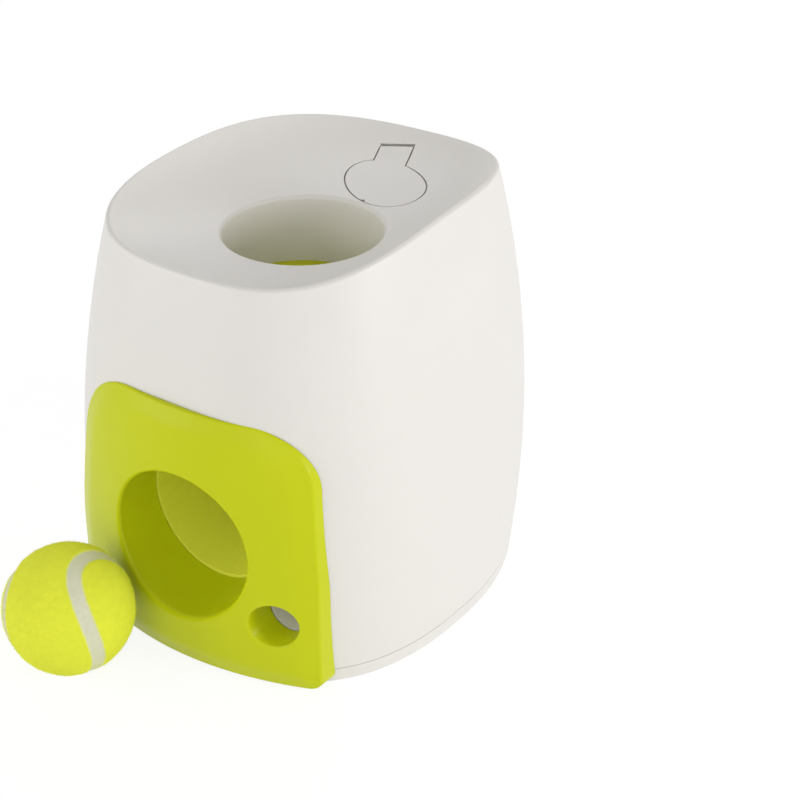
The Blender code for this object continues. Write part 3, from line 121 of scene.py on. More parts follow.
# Ball: least steepness in the seam's formula; where the seam's dip begins, how wide its slope is and where
# its colour blurs, as shares of its half width; share of a fibre inside the diameter; scale and depth of nap
LEAST_STEEPNESS = 1e-6
SEAM_OUTSIDE = 1.25
SEAM_SLOPE = 0.5
SEAM_BLUR = (0.82, 1.18)
FELT_COVER = 0.85
NAP = ((26, 0.00012), (60, 0.00008))

# Studio: light of the dome at the horizon and overhead, then place, width and watts of each lamp
FLOOR_REACH = 6
FLOOR_GLOW = 1.09
FLOOR_GLOW_SHARE = 0.8
DOME = (0.763, 0.306)
LAMPS = {
    "key_lamp": ((1.5, -1.4, 1.05), 1.5, 3.2),
    "side_lamp": ((2.0, 0.4, 0.7), 0.7, 16.5),
    "fill_lamp": ((-1.3, -1.6, 0.7), 1.4, 10.4),
    "front_lamp": ((0.3, -2.2, 0.6), 1.4, 4.9),
    "back_lamp": ((-1.0, 1.6, 1.6), 1.4, 7.9),
}
LAMP_AIM = (0, 0, 0.1)
CAMERA = {"sensor_width": 36, "lens": 73.97, "shift_x": 0.1109, "shift_y": -0.0284, "clip_start": 0.01}
CAMERA_PLACE = (0.46508, -0.61762, 0.51792)
CAMERA_RIGHT = (0.7989, 0.6015, 0)
CAMERA_BACK = (0.53201, -0.70657, 0.46664)
WHITE = (1, 1, 1, 1)


def length(name, description, default):
    """A size in metres."""
    return FloatProperty(name=name, description=description, default=default, unit="LENGTH", precision=5)


def share(name, description, default):
    """A plain ratio."""
    return FloatProperty(name=name, description=description, default=default, precision=4)


def degrees(name, description, default):
    """A turn or a slope."""
    return FloatProperty(name=name, description=description, default=math.radians(default), subtype="ANGLE")


def colour(name, description, default):
    """A colour in linear values."""
    return FloatVectorProperty(
        name=name, description=description, default=default, subtype="COLOR", size=3, min=0, max=1
    )


class MACHINE_PG_body(bpy.types.PropertyGroup):
    """Sizes of the housing."""
    half_width: length("Half width", "Half the housing's width at the floor", 0.1021)
    front_depth: length("Front depth", "From the middle to the front at the floor", 0.1136)
    back_depth: length("Back depth", "From the middle to the back at the floor", 0.1309)
    height: length("Outline height", "Height that the outline's shares refer to", 0.2200)
    swell: share("Swell", "How much the outline first widens", 0.147)
    taper: share("Taper", "How much the outline then draws in", 0.338)
    squareness: share("Squareness", "Power of the rounded square at the floor", 2.66)
    squareness_gain: share("Squareness gain", "How much squarer the outline is at the top", 0.472)
    back_rounding: share("Back rounding", "How much rounder the back half is", 0.63)
    lean: length("Lean", "How far the outline moves to the front at the top", 0.0027)
    rim_height: length("Rim height", "Height of the rim at its middle", 0.2214)
    rim_back_rise: length("Rim back rise", "How much the rim climbs to the back", 0.0080)
    rim_side_rise: length("Rim side rise", "How much the rim climbs to the sides", 0.0043)
    rim_end_fall: length("Rim end fall", "How much the rim falls to front and back", 0.0117)
    rim_round: length("Rim rounding", "Radius of the rim's edge", 0.0022)
    wall: length("Wall", "Thickness of the moulding", 0.0030)
    bottom: length("Bottom", "Height of the housing's lower edge", 0.0083)
    tray_top: length("Tray top", "Height of the tray's upper edge", 0.0078)
    tray_edge: length("Tray edge", "Rounding of the tray's edges", 0.0008)
    inlet_x: length("Inlet X", "Middle of the ball inlet", 0.0023)
    inlet_y: length("Inlet Y", "Middle of the ball inlet", -0.0100)
    inlet_radius: length("Inlet radius", "Clear radius of the ball inlet", 0.0410)
    inlet_lip: length("Inlet lip", "Rounding of the inlet's edge", 0.0024)
    inlet_height: length("Inlet height", "Height of the inlet's edge", 0.1995)
    inlet_tilt: length("Inlet tilt", "How much the inlet's edge climbs to the back", 0.0018)
    collar_bottom: length("Collar bottom", "Height where the inlet's collar ends", 0.1640)
    dish_linear: share("Dish slope share", "Share of the dish's rise that is straight", 0.62)
    dish_curve: share("Dish curve", "Power of the dish's curl at the rim", 4)
    sides: IntProperty(name="Sides", description="Points round the housing", default=192, min=24)


class MACHINE_PG_panel(bpy.types.PropertyGroup):
    """Sizes of the front panel."""
    left: length("Left", "Left edge at the panel's foot", -0.0708)
    right: length("Right", "Right edge at the panel's foot", 0.0802)
    left_taper: length("Left taper", "How much the left side draws in above the waist", 0.0108)
    right_taper: length("Right taper", "How much the right side draws in above the waist", 0.0062)
    waist: length("Waist", "Height where the sides begin to draw in", 0.0600)
    waist_round: length("Waist round", "Radius of the bend at the waist", 0.2000)
    bottom: length("Bottom", "Height of the panel's lower edge", 0.0008)
    top: length("Top", "Height of the panel's upper edge", 0.1427)
    left_corner: length("Left corner", "Radius of the upper left corner", 0.0375)
    right_corner: length("Right corner", "Radius of the upper right corner", 0.0311)
    bottom_corner: length("Bottom corner", "Radius of the lower corners", 0.0060)
    edge: length("Edge", "How proud the panel's middle stands at its edge", 0.0032)
    bow: length("Bow", "Radius of the panel's curve from side to side", 0.1670)
    crown: length("Crown", "How much the face rises inside its border", 0.0021)
    border: length("Border", "Width of the sloping border", 0.0110)
    fillet: length("Fillet", "Rounding of the panel's edge", 0.0012)
    grid: length("Grid", "Spacing of the face's points", 0.0026)
    exit_x: length("Exit X", "Middle of the ball exit", 0.0074)
    exit_z: length("Exit Z", "Middle of the ball exit", 0.0698)
    exit_radius: length("Exit radius", "Clear radius of the ball exit", 0.0395)
    exit_lip: length("Exit lip", "Rounding of the ball exit's edge", 0.0022)
    exit_end: length("Exit end", "Depth where the ball tunnel ends", -0.0895)
    outlet_x: length("Outlet X", "Middle of the treat outlet", 0.0594)
    outlet_z: length("Outlet Z", "Middle of the treat outlet", 0.0392)
    outlet_radius: length("Outlet radius", "Clear radius of the treat outlet", 0.0122)
    outlet_lip: length("Outlet lip", "Rounding of the treat outlet's edge", 0.0013)
    outlet_end: length("Outlet end", "Depth where the treat tunnel ends", -0.0970)
    slope: degrees("Slope", "Climb of both tunnels inwards", 15)
    wall: length("Tunnel wall", "Thickness of the tunnels", 0.0020)
    gap: length("Gap", "Clearance to the housing", 0.00045)


class MACHINE_PG_lid(bpy.types.PropertyGroup):
    """Sizes of the treat lid."""
    x: length("Mark X", "Place from which the tab is measured", 0.0060)
    y: length("Mark Y", "Place from which the tab is measured", 0.0526)
    oval_x: length("Oval X", "Middle of the lid's oval", 0.00815)
    oval_y: length("Oval Y", "Middle of the lid's oval", 0.05376)
    oval_angle: degrees("Oval angle", "Turn of the oval", -26.3)
    half_width: length("Half width", "Half the oval's width", 0.0278)
    half_length: length("Half length", "Half the oval's length", 0.0185)
    gap: length("Gap", "Gap round the lid", 0.00085)
    thickness: length("Thickness", "Thickness of the lid", 0.0016)
    ledge: length("Ledge", "Width of the ledge below the lid", 0.0022)
    lip: length("Lip", "Thickness of the lips that hide the undercut", 0.0004)
    undercut: length("Undercut", "How far the lid and its recess draw back below their lips", 0.0014)
    notch: length("Notch", "Radius of the finger notch", 0.0014)
    notch_angle: degrees("Notch angle", "Place of the finger notch round the oval", -73)
    tab_angle: degrees("Tab angle", "Turn of the tab from the back", 19)
    tab_width: length("Tab width", "Width of the hinge tab", 0.0180)
    tab_shift: length("Tab shift", "Place of the tab along the hinge", -0.0013)
    tab_reach: length("Tab reach", "From the lid's middle to the tab's end", 0.0390)
    tab_gap: length("Tab gap", "Gap round the hinge knuckle", 0.0014)
    knuckle: length("Knuckle", "Radius of the hinge knuckle", 0.0027)


class MACHINE_PG_ball(bpy.types.PropertyGroup):
    """Sizes of the ball."""
    diameter: length("Diameter", "Over the felt", 0.0680)
    x: length("Middle X", "Where the ball lies", -0.0348)
    y: length("Middle Y", "Where the ball lies", -0.1545)
    turn_x: degrees("Turn X", "Turn of the ball", -159.9)
    turn_y: degrees("Turn Y", "Turn of the ball", 12.9)
    turn_z: degrees("Turn Z", "Turn of the ball", -65.9)
    seam_width: length("Seam width", "Width of the rubber seam", 0.0076)
    seam_depth: length("Seam depth", "How deep the seam lies in the felt", 0.0007)
    seam_bend: share("Seam bend", "How far the seam swings", 0.40)
    fibre: length("Fibre", "Length of a felt fibre", 0.0011)
    fibres: IntProperty(name="Fibres", description="Number of loose felt fibres", default=9000, min=0)


class MACHINE_PG_colours(bpy.types.PropertyGroup):
    """Colours of the finishes."""
    white: colour("Housing", "Warm off-white moulding", (0.80, 0.775, 0.735))
    lime: colour("Panel", "Lime moulding", (0.59, 0.645, 0.005))
    grey: colour("Inner parts", "Pale grey moulding", (0.60, 0.58, 0.54))
    # Painted light: the ball duct is white moulding, but it gets a lime brighter than the panel's own lime,
    # standing in for the lime light inside the ball tunnel
    duct: colour("Ball duct", "Tinted moulding behind the exit", (0.90, 0.92, 0.08))
    felt: colour("Felt", "Ball felt", (0.90, 0.95, 0.05))
    seam: colour("Seam", "Ball seam", (0.72, 0.72, 0.55))
    steel: colour("Steel", "Plated steel", (0.62, 0.62, 0.64))
    nylon: colour("Nylon", "Natural nylon", (0.78, 0.76, 0.70))
    rubber: colour("Rubber", "Foot pads", (0.05, 0.05, 0.05))
    floor: colour("Floor", "Studio floor", (0.93, 0.93, 0.93))


GROUPS = {
    "machine_body": MACHINE_PG_body,
    "machine_panel": MACHINE_PG_panel,
    "machine_lid": MACHINE_PG_lid,
    "machine_ball": MACHINE_PG_ball,
    "machine_colours": MACHINE_PG_colours,
}


class Wire:
    """One output of a node; sums on it add Math nodes."""

    def __init__(self, net, socket):
        self.net = net
        self.socket = socket

    def sum(self, operation, *others):
        """Math node on this output and any further values."""
        return self.net.node("ShaderNodeMath", dict(enumerate((self, *others))), operation=operation)

    def sibling(self, output):
        """Another output of the same node."""
        return Wire(self.net, self.socket.node.outputs[output])

    def __add__(self, other):
        return self.sum("ADD", other)

    def __sub__(self, other):
        return self.sum("SUBTRACT", other)

    def __rsub__(self, other):
        return self.net.node("ShaderNodeMath", {0: other, 1: self}, operation="SUBTRACT")

    def __mul__(self, other):
        return self.sum("MULTIPLY", other)

    def __truediv__(self, other):
        return self.sum("DIVIDE", other)

    def __abs__(self):
        return self.sum("ABSOLUTE")


class Net:
    """A node tree and the way its nodes are made."""

    def __init__(self, tree):
        self.tree = tree

    def feed(self, socket, value):
        """Link a socket to a wire or a list of wires, or give it a plain value."""
        if isinstance(value, Wire):
            self.tree.links.new(value.socket, socket)
        elif isinstance(value, list):
            for wire in value:
                self.feed(socket, wire)
        else:
            socket.default_value = value

    def node(self, kind, sockets=None, output=0, **settings):
        """Add a node: its settings first, then the values or links of its sockets."""
        made = self.tree.nodes.new(kind)
        for key, value in settings.items():
            setattr(made, key, value)
        for key, value in (sockets or {}).items():
            self.feed(made.inputs[key], value)
        return Wire(self, made.outputs[output])


class Finish(Net):
    """A material and the few patterns it is made of."""

    def __init__(self, name):
        self.material = bpy.data.materials.new(name)
        self.material.use_nodes = True
        super().__init__(self.material.node_tree)
        self.shader = self.tree.nodes["Principled BSDF"]

    def set(self, **values):
        """Give the shader's sockets their values or links."""
        for key, value in values.items():
            name = key.replace("_", " ").title().replace("Ior", "IOR")
            if isinstance(value, tuple):
                value = (*value, 1)
            self.feed(self.shader.inputs[name], value)

    def place(self):
        return self.node("ShaderNodeTexCoord", output="Object")

    def moved(self, place, by):
        return self.node("ShaderNodeVectorMath", {0: place, 1: by}, operation="ADD")

    def noise(self, scale, detail=2, roughness=0.5, seed=0):
        """Fine irregularity; its seed moves the pattern."""
        return self.node("ShaderNodeTexNoise", {
            "Vector": self.moved(self.place(), (seed, seed, seed)),
            "Scale": scale, "Detail": detail, "Roughness": roughness,
        })

    def ramp(self, value, *stops):
        """Level that changes between two (place, level) stops."""
        wire = self.node("ShaderNodeValToRGB", {"Fac": value})
        for element, (place, level) in zip(wire.socket.node.color_ramp.elements, stops):
            element.position = place
            element.color = (level, level, level, 1)
        return wire

    def blend(self, factor, first, second):
        """Colour between two colours."""
        first, second = (tone if isinstance(tone, Wire) else (*tone, 1) for tone in (first, second))
        return self.node("ShaderNodeMix", {0: factor, 6: first, 7: second}, output=2, data_type="RGBA")

    def bump(self, height, strength, distance, below=None):
        sockets = {"Height": height, "Strength": strength, "Distance": distance}
        if below:
            sockets["Normal"] = below
        return self.node("ShaderNodeBump", sockets)


def shaded(tone, factor):
    """A colour made lighter or darker."""
    return tuple(min(max(channel * factor, 0), 1) for channel in tone)


def moulded(name, tone, gloss, grain, seed, shine=0.5):
    """Injection moulded plastic: spark-eroded grain, faint cloudiness and handling marks."""
    finish = Finish(name)
    cloud = finish.noise(scale=14, detail=3, seed=seed)
    fine = finish.noise(scale=2600, roughness=0.6, seed=seed + 1)
    marks = finish.noise(scale=48, detail=4, roughness=0.65, seed=seed + 2)
    rub = finish.ramp(marks, (0.55, 0), (0.78, 1))
    tone_map = finish.blend(cloud, shaded(tone, 0.975), shaded(tone, 1.02))
    grain_bump = finish.bump(fine, strength=grain, distance=0.00012)
    finish.set(
        base_color=finish.blend(rub * 0.25, tone_map, shaded(tone, 0.95)),
        roughness=fine * 0.10 + rub * 0.05 + gloss,
        normal=finish.bump(cloud, strength=0.05, distance=0.0012, below=grain_bump),
        specular_ior_level=shine,
    )
    return finish.material


def plated_steel(name, tone):
    """Zinc plated steel with fine drawing lines."""
    finish = Finish(name)
    lines = finish.node("ShaderNodeTexWave", {
        "Vector": finish.place(), "Scale": 900, "Distortion": 3, "Detail": 2,
    }, output="Fac", bands_direction="Y")
    patch = finish.noise(scale=220, detail=3)
    finish.set(
        base_color=finish.blend(patch, shaded(tone, 0.88), tone),
        metallic=1.0,
        roughness=patch * 0.12 + 0.24,
        normal=finish.bump(lines, strength=0.12, distance=0.00005),
    )
    return finish.material


def foot_rubber(name, tone):
    """Matt rubber with a slight bloom."""
    finish = Finish(name)
    bloom = finish.noise(scale=180, detail=4, roughness=0.6)
    finish.set(
        base_color=finish.blend(bloom, tone, shaded(tone, 1.8)),
        roughness=bloom * 0.1 + 0.72,
        normal=finish.bump(finish.noise(scale=1800), strength=0.25, distance=0.0002),
    )
    return finish.material


def ball_frame(sizes):
    """Centre and turn of the ball's seam."""
    centre = Vector((sizes.x, sizes.y, sizes.diameter / 2))
    turn = Matrix.Identity(3)
    for angle, axis in ((sizes.turn_z, "Z"), (sizes.turn_y, "Y"), (sizes.turn_x, "X")):
        turn = turn @ Matrix.Rotation(angle, 3, axis)
    return centre, turn


def seam_distance(direction, bend):
    """Angle from a direction to the ball's seam curve."""
    x, y, z = direction
    value = x * x - y * y - bend * z
    along = 2 * (x * x - y * y) - bend * z
    steepness = math.sqrt(max(4 * (x * x + y * y) + bend * bend - along * along, LEAST_STEEPNESS))
    return value / steepness


def ball_felt(name, colours, sizes):
    """Woven felt with cloudy nap, and the pale rubber seam that parts it."""
    finish = Finish(name)
    centre, turn = ball_frame(sizes)
    spot = finish.node("ShaderNodeMapping", {
        "Vector": finish.moved(finish.place(), tuple(-centre)),
        "Rotation": tuple(turn.inverted().to_euler()),
    })
    way = finish.node("ShaderNodeVectorMath", {0: spot}, operation="NORMALIZE")
    parts = finish.node("ShaderNodeSeparateXYZ", {0: way})
    x, y, z = (parts.sibling(axis) for axis in "XYZ")
    difference = x * x - y * y
    value = difference - z * sizes.seam_bend
    along = difference * 2 - z * sizes.seam_bend
    steep = (x * x + y * y) * 4 + sizes.seam_bend ** 2 - along * along
    steep = steep.sum("MAXIMUM", LEAST_STEEPNESS).sum("SQRT")
    wander = (finish.noise(scale=320) - 0.5) * 0.022
    apart = abs(value / steep + wander)
    half = sizes.seam_width / sizes.diameter
    band = finish.ramp(apart, (half * SEAM_BLUR[0], 1), (half * SEAM_BLUR[1], 0))
    nap = finish.noise(scale=900, detail=4, roughness=0.7)
    tuft = finish.noise(scale=230, detail=3, roughness=0.6, seed=3)
    felt = finish.blend(tuft, shaded(colours.felt, 0.90), shaded(colours.felt, 1.06))
    felt = finish.blend(nap * 0.35, felt, shaded(colours.felt, 0.72))
    speckle = finish.noise(scale=600)
    finish.set(
        base_color=finish.blend(
            band, felt, finish.blend(speckle, shaded(colours.seam, 0.92), shaded(colours.seam, 1.05))
        ),
        roughness=0.95 - band * 0.3,
        normal=finish.bump(nap * (1 - band) + band * 0.4, strength=0.8, distance=0.0006),
        sheen_weight=0.35,
        sheen_roughness=0.5,
        sheen_tint=shaded(colours.felt, 1.1),
    )
    return finish.material


def studio_floor(name, tone):
    """Pale floor that the camera sees as nearly white, with the shadow kept."""
    finish = Finish(name)
    finish.set(base_color=tone, roughness=0.9)
    glow = finish.node("ShaderNodeEmission", {"Color": WHITE, "Strength": FLOOR_GLOW})
    rays = finish.node("ShaderNodeLightPath", output="Is Camera Ray")
    seen = rays.sum("MAXIMUM", rays.sibling("Is Glossy Ray"))
    seen = seen.sum("MAXIMUM", rays.sibling("Is Transmission Ray"))
    plain = Wire(finish, finish.shader.outputs[0])
    mix = finish.node("ShaderNodeMixShader", {0: seen * FLOOR_GLOW_SHARE, 1: plain, 2: glow})
    finish.feed(finish.tree.nodes["Material Output"].inputs["Surface"], mix)
    return finish.material


FINISHES = {}


def finish_for(slot):
    """The material of one of the record's slots, made once."""
    colours = bpy.context.scene.machine_colours
    makers = {
        "white_plastic": lambda: moulded("moulded_white", colours.white, gloss=0.34, grain=0.10, seed=0),
        "lime_plastic": lambda: moulded(
            "moulded_lime", colours.lime, gloss=0.25, grain=0.05, seed=5, shine=0.2
        ),
        "grey_plastic": lambda: moulded("moulded_grey", colours.grey, gloss=0.42, grain=0.12, seed=9),
        # Ball duct: painted light, a bright lime in place of its white moulding
        "duct": lambda: moulded("duct_painted_light", colours.duct, gloss=0.42, grain=0.08, seed=11, shine=0.3),
        "steel": lambda: plated_steel("plated_steel", colours.steel),
        "nylon": lambda: moulded("natural_nylon", colours.nylon, gloss=0.48, grain=0.05, seed=13),
        "rubber": lambda: foot_rubber("foot_rubber", colours.rubber),
        "felt": lambda: ball_felt("ball_felt", colours, bpy.context.scene.machine_ball),
    }
    if slot not in FINISHES:
        FINISHES[slot] = makers[slot]()
    return FINISHES[slot]


class Skin:
    """Points and faces of a piece while it is being made."""

    def __init__(self):
        self.points = []
        self.faces = []

    def add(self, points):
        """Store points and return their numbers."""
        start = len(self.points)
        self.points += [tuple(p) for p in points]
        return list(range(start, len(self.points)))

    def strip(self, first, second):
        """Quads between two closed rings of point numbers."""
        count = len(first)
        for i in range(count):
            j = (i + 1) % count
            self.faces.append((first[i], first[j], second[j], second[i]))

    def strips(self, rings, closed=False):
        numbers = [self.add(ring) for ring in rings]
        for first, second in zip(numbers, numbers[1:]):
            self.strip(first, second)
        if closed:
            self.strip(numbers[-1], numbers[0])
        return numbers

    def piece(self, name, sharp=40):
        """Object of the stored skin, faces outwards, edges sharp past an angle."""
        mesh = bpy.data.meshes.new(name)
        mesh.from_pydata(self.points, [], self.faces)
        work = bmesh.new()
        work.from_mesh(mesh)
        bmesh.ops.recalc_face_normals(work, faces=work.faces)
        work.to_mesh(mesh)
        work.free()
        obj = bpy.data.objects.new(name, mesh)
        bpy.context.scene.collection.objects.link(obj)
        soften(obj, sharp)
        return obj


def soften(obj, sharp):
    """Shade smooth, with edges sharp past an angle in degrees."""
    obj.data.shade_smooth()
    obj.data.set_sharp_from_angle(angle=math.radians(sharp))


def settle(obj, step):
    """Make a piece and its one modifier a plain mesh."""
    bpy.context.view_layer.update()
    graph = bpy.context.evaluated_depsgraph_get()
    made = bpy.data.meshes.new_from_object(obj.evaluated_get(graph))
    obj.modifiers.remove(step)
    obj.data = made


def combine(obj, tools, operation="DIFFERENCE"):
    """Cut closed tools out of a piece, or unite them with it, and drop them."""
    for tool in tools:
        step = obj.modifiers.new("combine", "BOOLEAN")
        step.operation = operation
        step.solver = "EXACT"
        step.object = tool
        settle(obj, step)
        bpy.data.objects.remove(tool, do_unlink=True)


def dress(obj, slot, body, *nodes):
    """Give a piece its finish and its body, and hide the nodes it stands for."""
    obj.data.materials.clear()
    obj.data.materials.append(finish_for(slot))
    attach(obj, body)
    if nodes:
        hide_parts(*nodes)
    return obj


def spread(first, last, count):
    """Even values from first to last."""
    return [first + (last - first) * i / (count - 1) for i in range(count)]


def quarter(steps):
    """Sine and one minus cosine over a quarter turn, without its start."""
    turns = [math.pi / 2 * (i + 1) / steps for i in range(steps)]
    return [(math.sin(turn), 1 - math.cos(turn)) for turn in turns]


def even_angles(count):
    """Even angles round a circle."""
    return [math.tau * i / count for i in range(count)]


def circle(x, y, radius, sides):
    """Flat points round a circle."""
    return [(x + radius * math.cos(a), y + radius * math.sin(a)) for a in even_angles(sides)]


def solid(name, rings, sharp=40):
    """Piece through rings of points, closed at both ends."""
    skin = Skin()
    numbers = skin.strips(rings)
    skin.faces += [tuple(numbers[0][::-1]), tuple(numbers[-1])]
    return skin.piece(name, sharp)


def disc_tool(x, y, radius, heights, sides):
    """Upright cylinder between two heights."""
    flat = circle(x, y, radius, sides)
    return solid("disc_tool", [[(*p, z) for p in flat] for z in heights])


def slopes(height, x, y):
    """Slopes of a height along its two directions."""
    across = (height(x + SLOPE_STEP, y) - height(x - SLOPE_STEP, y)) / (2 * SLOPE_STEP)
    along = (height(x, y + SLOPE_STEP) - height(x, y - SLOPE_STEP)) / (2 * SLOPE_STEP)
    return across, along


class Form:
    """The housing's outline, rim and dish, worked out from its sizes."""

    def __init__(self, sizes):
        self.s = sizes
        self.lip_radius = sizes.inlet_radius + sizes.inlet_lip
        self.rims = {}

    def section(self, z):
        """Share of the outline's height, scale and power of the outline at a height."""
        s = self.s
        up = z / s.height
        return up, 1 + s.swell * up - s.taper * up * up, s.squareness + s.squareness_gain * up

    def outside(self, x, y, z, inset):
        """Below zero inside the wall."""
        s = self.s
        up, scale, power = self.section(z)
        y += s.lean * up
        depth = s.front_depth
        if y > 0:
            depth = s.back_depth
            power -= s.back_rounding
        half_width = s.half_width * scale - inset
        half_depth = depth * scale - inset
        return abs(x / half_width) ** power + abs(y / half_depth) ** power - 1

    def at(self, angle, reach, z):
        s = self.s
        return Vector((s.inlet_x + reach * math.cos(angle), s.inlet_y + reach * math.sin(angle), z))

    def reach(self, angle, z, inset=0.0):
        """Distance from the inlet's axis to the wall."""
        low, high = NEAREST_WALL, FURTHEST_WALL
        across, back = math.cos(angle), math.sin(angle)
        for _ in range(HALVINGS):
            middle = (low + high) / 2
            if self.outside(self.s.inlet_x + middle * across, self.s.inlet_y + middle * back, z, inset) < 0:
                low = middle
            else:
                high = middle
        return low

    def wall(self, angle, z, inset=0.0):
        return self.at(angle, self.reach(angle, z, inset), z)

    def rim_height(self, point):
        s = self.s
        across, back = point[0] / s.half_width, point[1] / s.front_depth
        rise = s.rim_back_rise * back + s.rim_side_rise * across ** 2 - s.rim_end_fall * back ** 2
        return s.rim_height + rise

    def rim(self, angle):
        """Height of the rim's crest and reach of its inner edge."""
        key = round(angle, 6)
        if key not in self.rims:
            z = self.s.rim_height
            for _ in range(RIM_ROUNDS):
                z = self.rim_height(self.wall(angle, z))
            self.rims[key] = (z, self.reach(angle, z - self.s.rim_round, self.s.rim_round))
        return self.rims[key]

    def lip(self, angle):
        return self.s.inlet_height + self.s.inlet_tilt * math.sin(angle)

    def rise(self, part):
        """Share of the dish's height at a part of the way from the lip to the rim."""
        return self.s.dish_linear * part + (1 - self.s.dish_linear) * part ** self.s.dish_curve

    def dish(self, angle, part):
        """Point of the dish, from the lip at 0 to the rim at 1."""
        crest, reach = self.rim(angle)
        low = self.lip(angle)
        out = self.lip_radius + (reach - self.lip_radius) * part
        return self.at(angle, out, low + (crest - low) * self.rise(part))

    def dish_height(self, x, y):
        dx, dy = x - self.s.inlet_x, y - self.s.inlet_y
        angle = math.atan2(dy, dx)
        crest, reach = self.rim(angle)
        part = max((math.hypot(dx, dy) - self.lip_radius) / (reach - self.lip_radius), 0)
        low = self.lip(angle)
        return low + (crest - low) * self.rise(part)

    def front(self, x, z):
        """Depth of the housing's front."""
        s = self.s
        up, scale, power = self.section(z)
        across = min(abs(x / (s.half_width * scale)), NEARLY_ONE)
        return -s.lean * up - s.front_depth * scale * (1 - across ** power) ** (1 / power)

    def proud_of_front(self, x, z, proud):
        slope_x, slope_z = slopes(self.front, x, z)
        normal = Vector((slope_x, -1, slope_z)).normalized()
        return Vector((x, self.front(x, z), z)) + normal * proud


def inside(point, outline):
    """Whether a flat point lies inside a closed outline."""
    crossed = False
    for a, b in zip(outline, outline[1:] + outline[:1]):
        if (a[1] > point[1]) != (b[1] > point[1]):
            if point[0] < (b[0] - a[0]) * (point[1] - a[1]) / (b[1] - a[1]) + a[0]:
                crossed = not crossed
    return crossed


def distance_to(point, outline):
    """Distance from a flat point to a closed outline."""
    best = 1.0
    px, py = point[0], point[1]
    for a, b in zip(outline, outline[1:] + outline[:1]):
        sx, sy = b[0] - a[0], b[1] - a[1]
        part = ((px - a[0]) * sx + (py - a[1]) * sy) / max(sx * sx + sy * sy, 1e-15)
        part = min(max(part, 0), 1)
        best = min(best, math.hypot(px - a[0] - sx * part, py - a[1] - sy * part))
    return best


def fill(loops, spacing):
    """Triangles inside the first loop and outside the others, with a grid of inner points."""
    points = [Vector(p[:2]) for loop in loops for p in loop]
    edges, start = [], 0
    for loop in loops:
        edges += [(start + i, start + (i + 1) % len(loop)) for i in range(len(loop))]
        start += len(loop)
    outline, holes = loops[0], loops[1:]
    low = [min(p[k] for p in outline) for k in (0, 1)]
    high = [max(p[k] for p in outline) for k in (0, 1)]
    columns, rows = (int((high[k] - low[k]) / spacing) + 1 for k in (0, 1))
    for row in range(1, rows):
        for column in range(1, columns):
            here = (low[0] + (high[0] - low[0]) * column / columns, low[1] + (high[1] - low[1]) * row / rows)
            if not inside(here, outline) or any(inside(here, hole) for hole in holes):
                continue
            if min(distance_to(here, loop) for loop in loops) > spacing * 0.5:
                points.append(Vector(here))
    made = delaunay_2d_cdt(points, edges, [], 1, 1e-7)
    places, origins = made[0], [origin[0] for origin in made[3]]
    kept = []
    for triangle in made[2]:
        centre = sum((places[i] for i in triangle), Vector((0, 0))) / 3
        if not any(inside(centre, hole) for hole in holes):
            kept.append([origins[i] for i in triangle])
    return points, kept


def rounded_outline(corners, steps):
    """Closed outline through (x, y, radius) corners, each turned into an arc."""
    outline = []
    for index, (x, y, radius) in enumerate(corners):
        here = Vector((x, y))
        before = (Vector(corners[index - 1][:2]) - here).normalized()
        after = (Vector(corners[(index + 1) % len(corners)][:2]) - here).normalized()
        half = before.angle(after) / 2
        centre = here + (before + after).normalized() * radius / math.sin(half)
        start = here + before * radius / math.tan(half) - centre
        turn = math.copysign(math.pi - 2 * half, -before.cross(after))
        for step in range(steps + 1):
            outline.append(tuple(centre + Matrix.Rotation(turn * step / steps, 2) @ start))
    return outline


def even_sides(outline, like, step):
    """The outline with its long sides divided; the divisions follow another outline."""
    result = []
    for index in range(len(outline)):
        after = (index + 1) % len(outline)
        start, end = Vector(outline[index]), Vector(outline[after])
        pieces = max(round((Vector(like[after]) - Vector(like[index])).length / step), 1)
        result += [tuple(start.lerp(end, i / pieces)) for i in range(pieces)]
    return result


class Front:
    """The panel's outline, face and tunnels on the housing's front."""

    def __init__(self, form, sizes):
        self.form = form
        self.s = sizes
        self.outer = rounded_outline(self.corners(0), CORNER_STEPS)

    def corners(self, inset):
        s = self.s
        low, high = s.bottom + inset, s.top - inset
        return [
            (s.left + inset, low, s.bottom_corner - inset / 2),
            (s.right - inset, low, s.bottom_corner - inset / 2),
            (s.right - inset, s.waist, s.waist_round),
            (s.right - s.right_taper - inset, high, s.right_corner - inset),
            (s.left + s.left_taper + inset, high, s.left_corner - inset),
            (s.left + inset, s.waist, s.waist_round),
        ]

    def outline(self, inset):
        rounded = rounded_outline(self.corners(inset), CORNER_STEPS)
        return even_sides(rounded, self.outer, OUTLINE_STEP)

    def edge(self, x, z):
        """Depth of the face without its crown."""
        return self.form.front(0, z) - self.s.edge + x * x / (2 * self.s.bow)

    def face(self, x, z):
        """Depth of the face, with its crown inside the sloping border."""
        part = min(distance_to((x, z), self.outer) / self.s.border, 1)
        return self.edge(x, z) - self.s.crown * math.sin(part * math.pi / 2) ** 2

    def end(self, x, z, depth):
        rise = (depth - self.form.front(x, z)) * math.tan(self.s.slope)
        return Vector((x, depth, z + rise))

    def tunnels(self):
        """End, radius, lip and sides of the ball tunnel and of the treat tunnel."""
        s = self.s
        return (
            (self.end(s.exit_x, s.exit_z, s.exit_end), s.exit_radius, s.exit_lip, EXIT_SIDES),
            (self.end(s.outlet_x, s.outlet_z, s.outlet_end), s.outlet_radius, s.outlet_lip, OUTLET_SIDES),
        )

    def ring(self, end, radius, depth_at, sides):
        """Ring of a sloping tunnel, with a depth for each place of the elevation."""
        ring = []
        slope = math.tan(self.s.slope)
        for x, level in circle(end.x, end.z, radius, sides):
            y = FIRST_DEPTH
            for _ in range(DEPTH_ROUNDS):
                y = depth_at(x, level + slope * (y - end.y))
            ring.append(Vector((x, y, level + slope * (y - end.y))))
        return ring


